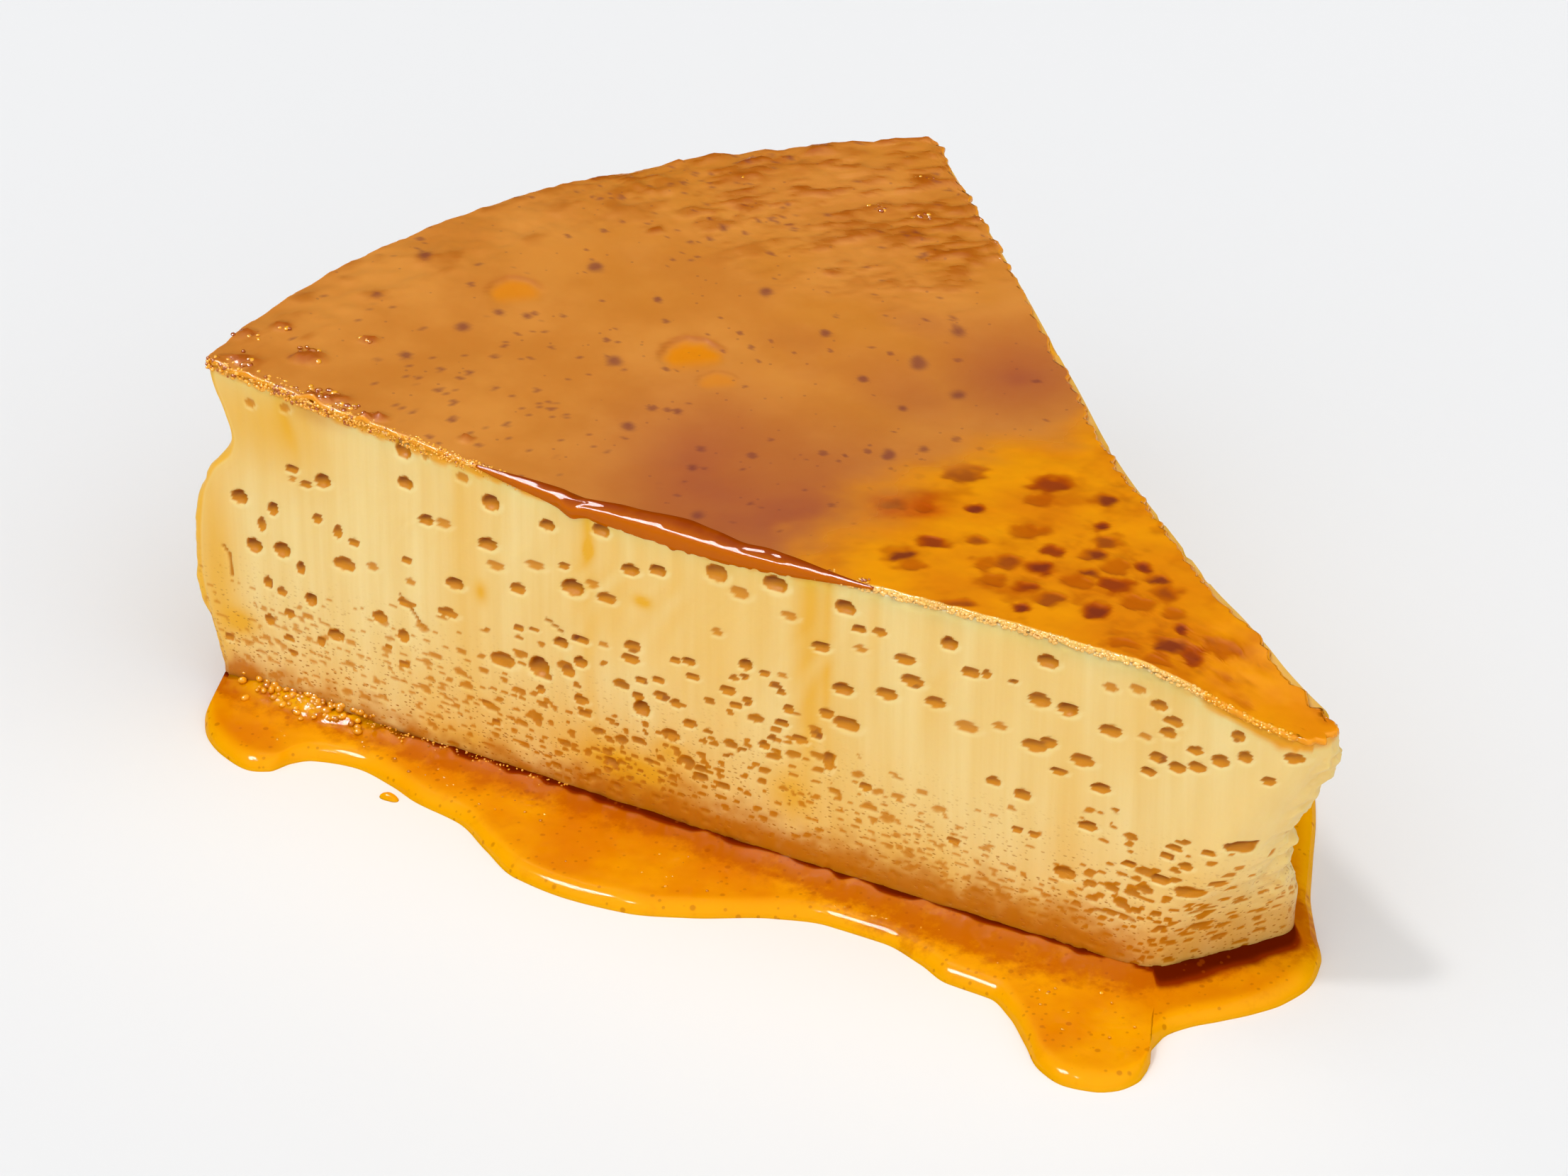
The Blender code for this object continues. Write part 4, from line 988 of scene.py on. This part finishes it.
def poolMaterial():
    look = poolLook
    material, tree, shader = newMaterial(
        "caramel sauce", Roughness=0.1, Subsurface_Weight=0.35, Subsurface_Scale=0.0008,
        Subsurface_Radius=(1.2, 0.8, 0.4), Coat_Weight=0.15, Coat_Roughness=0.06, Specular_IOR_Level=0.0)
    cloud = grain(tree, 70, (1, 1, 1), 4)
    colour = blendColour(tree, between(tree, cloud, 0.35, 0.65), look["amber"], look["yellow"])
    colour = blendColour(tree, sums(tree, "MULTIPLY", maskOf(tree, "thin"), 0.9), colour, look["thin"])
    contact = maskOf(tree, "contact")
    broken = sums(tree, "ADD", contact, between(tree, grain(tree, 420, (1, 1, 1), 4, 0.7), 0.3, 0.7, -0.3, 0.3))
    colour = blendColour(tree, between(tree, broken, 0.1, 0.95, 0, 0.85), colour, look["deep"])
    dark = maskOf(tree, "dark")
    tree.links.new(between(tree, dark, 0, 0.5, 0.15, 0), shader.inputs["Coat Weight"])
    # darkest sauce along the slice's foot; at the facet's foot it is painted shade under the overhanging tip
    colour = blendColour(tree, between(tree, dark, 0.0, 0.6, 0, 0.95), colour, look["contact"])
    colour = blendColour(tree, between(tree, dark, 0.6, 1.0, 0, 0.8), colour, look["dark"])
    colour = blendColour(tree, maskOf(tree, "foam"), colour, look["foam"])
    dots = sums(tree, "MAXIMUM", sums(tree, "MULTIPLY", specks(tree, 1.7, 0.2, 0.5), 0.45),
                sums(tree, "MULTIPLY", specks(tree, 0.8, 0.26, 0.45), 0.4))
    colour = blendColour(tree, dots, colour, look["speck"])
    tree.links.new(colour, shader.inputs["Base Color"])
    relief = sums(tree, "ADD", grain(tree, 260, (1, 1, 1), 2), sums(tree, "MULTIPLY", grain(tree, 1200, (1, 1, 1), 2), 0.3))
    bumped = addNode(tree, "Bump", Strength=0.2, Distance=0.0002, Height=relief)
    tree.links.new(bumped.outputs[0], shader.inputs["Normal"])
    return material


makePool()

syrupLook = {
    "syrup": tone(146, 56, 0),
    "syrupThin": tone(192, 96, 0),
    # place along the near edge, and there: reach over the top, reach down the cut, thickness
    "bead": [(-83, 0.2, 0.15, 0.02), (-80, 0.7, 0.5, 0.1), (-76, 1.2, 0.8, 0.18), (-74.4, 1.4, 1.0, 0.2),
             (-72.7, 1.5, 1.6, 0.22), (-71.0, 1.7, 1.05, 0.22), (-67, 2.2, 1.2, 0.26), (-62, 2.9, 1.5, 0.3),
             (-57, 2.5, 1.3, 0.28), (-51, 1.6, 0.9, 0.2), (-46, 0.7, 0.5, 0.12), (-42, 0.2, 0.15, 0.02)],
    "crumb": tone(248, 172, 24),
    "crumbBrown": tone(168, 78, 4),
    "crumbPale": tone(252, 212, 126),
    "crumbRound": 0.3,
    "froth": tone(222, 146, 6),
    "frothBrown": tone(176, 96, 6),
}


def makeBead():
    # Syrup gathered on the near edge.  Its profile runs from the cut (q = -1) over the corner
    # of the slice to the top (q = 1): a chord between the two ends, raised along its normal by
    # h * (1 - q^4), where h is the corner's distance from the chord + the thickness there.
    look = syrupLook
    x = np.linspace(-82.8, -42.2, 210)
    over, down, thick = (smoothCurve([(b[0], b[k]) for b in look["bead"]], x)[:, None] for k in (1, 2, 3))
    over = over * (1 + 0.15 * noise(x / 3.1, x * 0, 111))[:, None]
    stations = np.interp(x, sliceOutline(np.full(60, 31.5), np.linspace(0, 0.999, 60))[:, 0], np.linspace(0, 0.999, 60))
    edgeY = sliceOutline(np.full(len(x), 31.5), stations)[:, 1][:, None]
    edgeZ = topHeight(x, edgeY[:, 0])[:, None]
    q = np.concatenate([np.linspace(-1, 1, 21), np.linspace(0.8, -0.8, 9)])[None]
    outer = np.arange(30) < 21
    length = np.hypot(over, down)
    height = over * down / length + thick
    wavy = 1 + 0.08 * noise(x[:, None] / 3.1, q * 1.2, 112) + 0.025 * noise(x[:, None] / 1.1, q * 2, 113)
    lift = np.where(outer, height * (1 - q**4) ** 0.9 * wavy, -0.25)
    y = edgeY + over * (1 + q) / 2 - down / length * lift
    z = edgeZ - down * (1 - q) / 2 + over / length * lift
    z = np.where(outer, z, np.minimum(z, edgeZ - 0.3))
    rings = np.stack([np.broadcast_to(x[:, None], y.shape), y, z], -1)
    points, faces = closedGrid(rings)
    thin = withEnds(np.broadcast_to(smoothStep(0.3, -0.6, q), y.shape) * 1.0)
    return addPiece("edge_syrup", points, faces, syrupMaterial(), (), {"thin": thin})


def syrupMaterial():
    look = syrupLook
    material, tree, shader = newMaterial(
        "edge syrup", Roughness=0.06, Subsurface_Weight=0.15, Subsurface_Scale=0.0005,
        Subsurface_Radius=(1.0, 0.6, 0.3), Coat_Weight=0.18, Coat_Roughness=0.05, Specular_IOR_Level=0.0)
    colour = blendColour(tree, maskOf(tree, "thin"), look["syrup"], look["syrupThin"])
    colour = blendColour(tree, between(tree, grain(tree, 300), 0.4, 0.7, 0, 0.25), colour, look["syrupThin"])
    tree.links.new(colour, shader.inputs["Base Color"])
    bumped = addNode(tree, "Bump", Strength=0.2, Distance=0.0002, Height=grain(tree, 500))
    tree.links.new(bumped.outputs[0], shader.inputs["Normal"])
    return material


def ballGrid(rows=5, cols=8):
    # unit ball: cos and sin of two angles on a small grid, with a point at each pole
    polar = np.linspace(0, np.pi, rows + 2)[1:-1][:, None]
    round_ = np.linspace(0, 2 * np.pi, cols, endpoint=False)[None]
    rings = np.stack([np.sin(polar) * np.cos(round_), np.sin(polar) * np.sin(round_), -np.cos(polar) + 0 * round_], -1)
    index = np.arange(rows * cols).reshape(rows, cols)
    side = np.roll(index, -1, 1)
    quads = np.stack([index[:-1], side[:-1], side[1:], index[1:]], -1).reshape(-1, 4)
    foot, head = rows * cols, rows * cols + 1
    fans = np.concatenate([np.stack([side[0], index[0], np.full(cols, foot)], -1),
                           np.stack([index[-1], side[-1], np.full(cols, head)], -1)])
    return np.concatenate([rings.reshape(-1, 3), [[0, 0, -1], [0, 0, 1]]]), quads, fans


def scatterBalls(name, centres, radii, squash, tints, material):
    # one small ball at each centre: centre + radius * ball, squashed and turned at random
    ball, quads, fans = ballGrid()
    chance = np.random.default_rng(len(centres))
    turn = chance.uniform(0, 2 * np.pi, len(centres))[:, None]
    scale = squash * chance.uniform(0.8, 1.2, (len(centres), 3))
    shaped = ball[None] * scale[:, None]
    across = shaped[..., 0] * np.cos(turn) - shaped[..., 1] * np.sin(turn)
    other = shaped[..., 0] * np.sin(turn) + shaped[..., 1] * np.cos(turn)
    placed = centres[:, None] + radii[:, None, None] * np.stack([across, other, shaped[..., 2]], -1)
    step = (np.arange(len(centres)) * len(ball))[:, None, None]
    faces = [(quads[None] + step).reshape(-1, 4), (fans[None] + step).reshape(-1, 3)]
    values = {"tint": np.repeat(tints, len(ball))}
    return addPiece(name, placed.reshape(-1, 3), faces, material, (), values)


def crumbMaterial(name, low, middle, high, coat, bumpy=0.3):
    # colour runs low, middle, high as the tint goes 0, 0.5, 1
    material, tree, shader = newMaterial(
        name, Roughness=0.2, Coat_Weight=coat, Coat_Roughness=0.05, Specular_IOR_Level=0.25)
    tint = maskOf(tree, "tint")
    colour = blendColour(tree, between(tree, tint, 0, 0.5), low, middle)
    colour = blendColour(tree, between(tree, tint, 0.5, 1), colour, high)
    colour = blendColour(tree, between(tree, grain(tree, 900), 0.35, 0.7, 0, 0.25), colour, low)
    tree.links.new(colour, shader.inputs["Base Color"])
    bumped = addNode(tree, "Bump", Strength=bumpy, Distance=0.0001, Height=grain(tree, 2500))
    tree.links.new(bumped.outputs[0], shader.inputs["Normal"])
    return material


def makeCrumbs():
    # grains of set caramel along the near edge, thick at the outer corner and pale near the tip
    look, chance = syrupLook, np.random.default_rng(5)
    x = np.concatenate([chance.uniform(-112.5, -80, 560), chance.uniform(-105, -78, 300), chance.uniform(-82, -45, 420),
                        chance.uniform(-46, -11, 500), chance.uniform(-11, -3, 100)])
    n = len(x)
    samples = sliceOutline(np.full(80, 33.5), np.linspace(0, 0.9999, 80))
    edgeY = np.interp(x, samples[:, 0], samples[:, 1])
    edgeZ = topHeight(x, edgeY)
    left = smoothStep(-45, -60, x)
    corner = smoothStep(-90, -108, x)
    radius = chance.uniform(0.08, 0.15, n) * (1 + 0.9 * corner * chance.random(n) + 0.4 * (1 - left))
    # round the edge, from just inside the top to a little way down the cut
    turn = np.where(left > 0.5, chance.uniform(-0.15, 1.0, n), chance.uniform(0.1, 0.9, n))
    r = look["crumbRound"]
    inward = np.where(turn < 0, r - turn * 2.4 * (1 + 2 * corner), r * (1 - np.sin(np.pi / 2 * np.clip(turn * 2, 0, 1))))
    fall = np.where(turn < 0.5, r * (1 - np.cos(np.pi / 2 * np.clip(turn * 2, 0, 1))), r + (turn - 0.5) * 1.1)
    y = edgeY + inward + 0.07
    z = edgeZ - fall * (0.8 + 0.4 * left) - 0.03
    tint = np.where(left > 0.5, np.where(chance.random(n) < 0.06 + 0.3 * corner, 0.1, 0.6), 0.8)
    tint = np.where(x > -11, 0.5, tint)
    material = crumbMaterial("caramel crumbs", look["crumbBrown"], look["crumb"], look["crumbPale"], 0.4)
    return scatterBalls("edge_crumbs", np.column_stack([x, y, z]), radius, np.array([1.2, 0.9, 0.8]),
                        tint, material)


def makeBlisters():
    # blistered caramel: each place on the top holds a cluster of glossy bubbles
    look, chance = syrupLook, np.random.default_rng(9)
    spots = np.array([(-105.3, 5.0, 1.3), (-103.0, 11.0, 0.7), (-109.5, 0.8, 1.2), (-99.5, 0.0, 1.4),
                      (-101.4, 0.3, 0.9), (-97.6, 0.0, 0.9), (-112.0, 5.0, 0.8), (-110.4, 7.8, 0.7),
                      (-94.8, -0.1, 0.8), (-73.3, 62.5, 0.8), (-77.5, 61.6, 0.8), (-76.6, 68.8, 0.6),
                      (-92.0, 59.0, 0.6), (-43.5, -0.7, 0.45), (-46.9, -0.7, 0.5)])
    count = 14
    centre = np.repeat(spots, count, 0)
    where = centre[:, :2] + chance.normal(0, 0.5, (len(centre), 2)) * centre[:, 2:] * (1.3, 0.8)
    where[:, 1] = np.maximum(where[:, 1], -0.9)
    radius = centre[:, 2] * chance.uniform(0.14, 0.34, len(centre))
    z = topHeight(*where.T) + 0.12 - radius * chance.uniform(0.1, 0.6, len(centre))
    tint = chance.choice([0.0, 0.15, 0.5], len(centre))
    material = crumbMaterial("blistered caramel", look["crumbBrown"], look["crumb"], look["crumbPale"], 0.8)
    return scatterBalls("blisters", np.column_stack([where, z]), radius, np.array([1.3, 1.0, 0.7]),
                        tint, material)


def makeFroth():
    # foam caught between the near cut's foot and the sauce
    look, chance = syrupLook, np.random.default_rng(13)
    n, foam = 240, 80
    inFoam = np.arange(n) < foam
    x = np.concatenate([chance.triangular(-111.0, -103, -94.0, foam), chance.uniform(-112, -74, n - foam)])
    fromCut = np.abs(chance.normal(0, 0.8, n)) * np.where(inFoam, 1, 0.5)
    radius = np.where(inFoam, chance.uniform(0.2, 0.5, n), chance.uniform(0.07, 0.16, n))
    z = 1.35 + 0.9 * np.exp(-fromCut / 1.4) + np.where(inFoam, 0.8, 0) * np.exp(-fromCut / 1.6) - 0.45 * radius
    y = wedge["nearCutY"] - fromCut * 1.1 + 0.1
    # single bubbles on the open sauce
    loose = chance.integers(30, 430, 90)
    share = chance.uniform(0.12, 0.75, 90)[:, None]
    onFoot = sliceOutline(np.full(90, 1.1), poolStations[loose])
    bubbles = onFoot + (sauceEdge[loose] - onFoot) * share
    x, y = np.append(x, bubbles[:, 0]), np.append(y, bubbles[:, 1])
    z, radius = np.append(z, np.full(90, 1.3)), np.append(radius, chance.uniform(0.08, 0.2, 90))
    tint = chance.choice([0.2, 0.5, 0.75, 1.0], n + 90, p=(0.15, 0.4, 0.25, 0.2))
    material = crumbMaterial("sauce froth", look["frothBrown"], look["froth"], look["crumb"], 0.2, 0.05)
    return scatterBalls("sauce_froth", np.column_stack([x, y, z]), radius, np.array([1.1, 0.9, 0.7]),
                        tint, material)


def makeDroplet():
    # one drop beside the sauce: a low dome, height = t * (1 - r^2)^0.6
    angle = np.linspace(0, 2 * np.pi, 40, endpoint=False)
    r = np.array([0.5, 1, 0.97, 0.9, 0.75, 0.5, 0.2])[:, None]
    z = 0.55 * (1 - r**2) ** 0.6
    z[:2] = 0
    uneven = 1 + 0.12 * np.cos(2 * angle) + 0.06 * np.cos(3 * angle + 1)
    rings = np.stack([-88.6 + 0.9 * r * np.cos(angle) * uneven, -8.8 + 0.6 * r * np.sin(angle) * uneven,
                      z + 0 * angle], -1)
    points, faces = closedGrid(rings)
    thin = withEnds(np.broadcast_to(np.clip(r, 0.4, 1), rings.shape[:2]))
    return addPiece("sauce_droplet", points, faces, bpy.data.materials["caramel sauce"], (),
                    {"thin": thin, "contact": thin * 0, "dark": thin * 0, "foam": thin * 0})


makeBead()
makeCrumbs()
makeBlisters()
makeFroth()
makeDroplet()

studio = {
    "cameraAt": (126.08, -298.03, 222.83),  # flan millimetres
    "lookAt": (-77.76, 43.50, 0.0),
    "lens": 105.8,
    "keyAzimuth": 245,
    "keyHeight": 64,
    "keyStrength": 0.62,
    "keySoftness": 6.0,  # degrees across
    "skyStrength": 1.36,
    "skyDim": 0.02,
    "skyTowards": (0.3, -0.42, 0.857),
    # a round panel that only glossy surfaces see: direction, distance and radius in metres, power
    "panelTowards": (-0.447, -0.27, 0.853),
    "panelAway": 1.0,
    "panelRadius": 0.16,
    "panelPower": 24.0,
    "floor": (0.842, 0.846, 0.854, 1),
}


def inRow(point):
    return Vector((np.array(point) + shift) * mm)


def aim(thing, target):
    thing.rotation_euler = (target - thing.location).to_track_quat("-Z", "Y").to_euler()


def makeStudio():
    scene = bpy.context.scene
    camera = bpy.data.objects.new("camera", bpy.data.cameras.new("camera"))
    scene.collection.objects.link(camera)
    camera.data.lens, camera.data.sensor_width = studio["lens"], 36
    camera.data.clip_start, camera.data.clip_end = 0.01, 20
    camera.location = inRow(studio["cameraAt"])
    aim(camera, inRow(studio["lookAt"]))
    scene.camera = camera

    key = bpy.data.objects.new("key", bpy.data.lights.new("key", "SUN"))
    key.data.energy = studio["keyStrength"]
    key.data.angle = np.radians(studio["keySoftness"])
    scene.collection.objects.link(key)
    across, up = np.radians(studio["keyAzimuth"]), np.radians(studio["keyHeight"])
    key.location = Vector((np.cos(up) * np.cos(across), np.cos(up) * np.sin(across), np.sin(up)))
    aim(key, Vector((0, 0, 0)))

    panel = bpy.data.objects.new("panel", bpy.data.lights.new("panel", "AREA"))
    panel.data.shape, panel.data.size = "DISK", 2 * studio["panelRadius"]
    panel.data.energy = studio["panelPower"]
    panel.visible_diffuse = False
    scene.collection.objects.link(panel)
    panel.location = Vector(studio["panelTowards"]) * studio["panelAway"]
    aim(panel, Vector((0, 0, 0)))

    # a soft dome of light, bright in front and on the right, dim overhead and behind
    world = bpy.data.worlds.new("studio")
    world.use_nodes = True
    tree = world.node_tree
    back = tree.nodes["Background"]
    back.inputs["Color"].default_value = (0.985, 0.988, 0.992, 1)
    way = addNode(tree, "VectorMath", {"operation": "DOT_PRODUCT"}, in1=studio["skyTowards"],
                  in0=addNode(tree, "TexCoord").outputs["Generated"]).outputs["Value"]
    dome = between(tree, way, 0.15, 0.8, studio["skyDim"], studio["skyStrength"])
    tree.links.new(dome, back.inputs["Strength"])
    scene.world = world
    scene.view_settings.view_transform = "Standard"
    scene.view_settings.look = "None"

    mesh = bpy.data.meshes.new("floor")
    half = 3.0
    mesh.from_pydata([(-half, -half, 0), (half, -half, 0), (half, half, 0), (-half, half, 0)], [], [(0, 1, 2, 3)])
    floor = bpy.data.objects.new("floor", mesh)
    scene.collection.objects.link(floor)
    material, tree, shader = newMaterial("studio floor", Roughness=0.6, Specular_IOR_Level=0.0)
    shade = grain(tree, 3, (1, 1, 1), 1)
    tree.links.new(blendColour(tree, between(tree, shade, 0.3, 0.7, 0, 0.02), studio["floor"], (0.7, 0.7, 0.72, 1)),
                   shader.inputs["Base Color"])
    mesh.materials.append(material)


makeStudio()
print("studio ready")
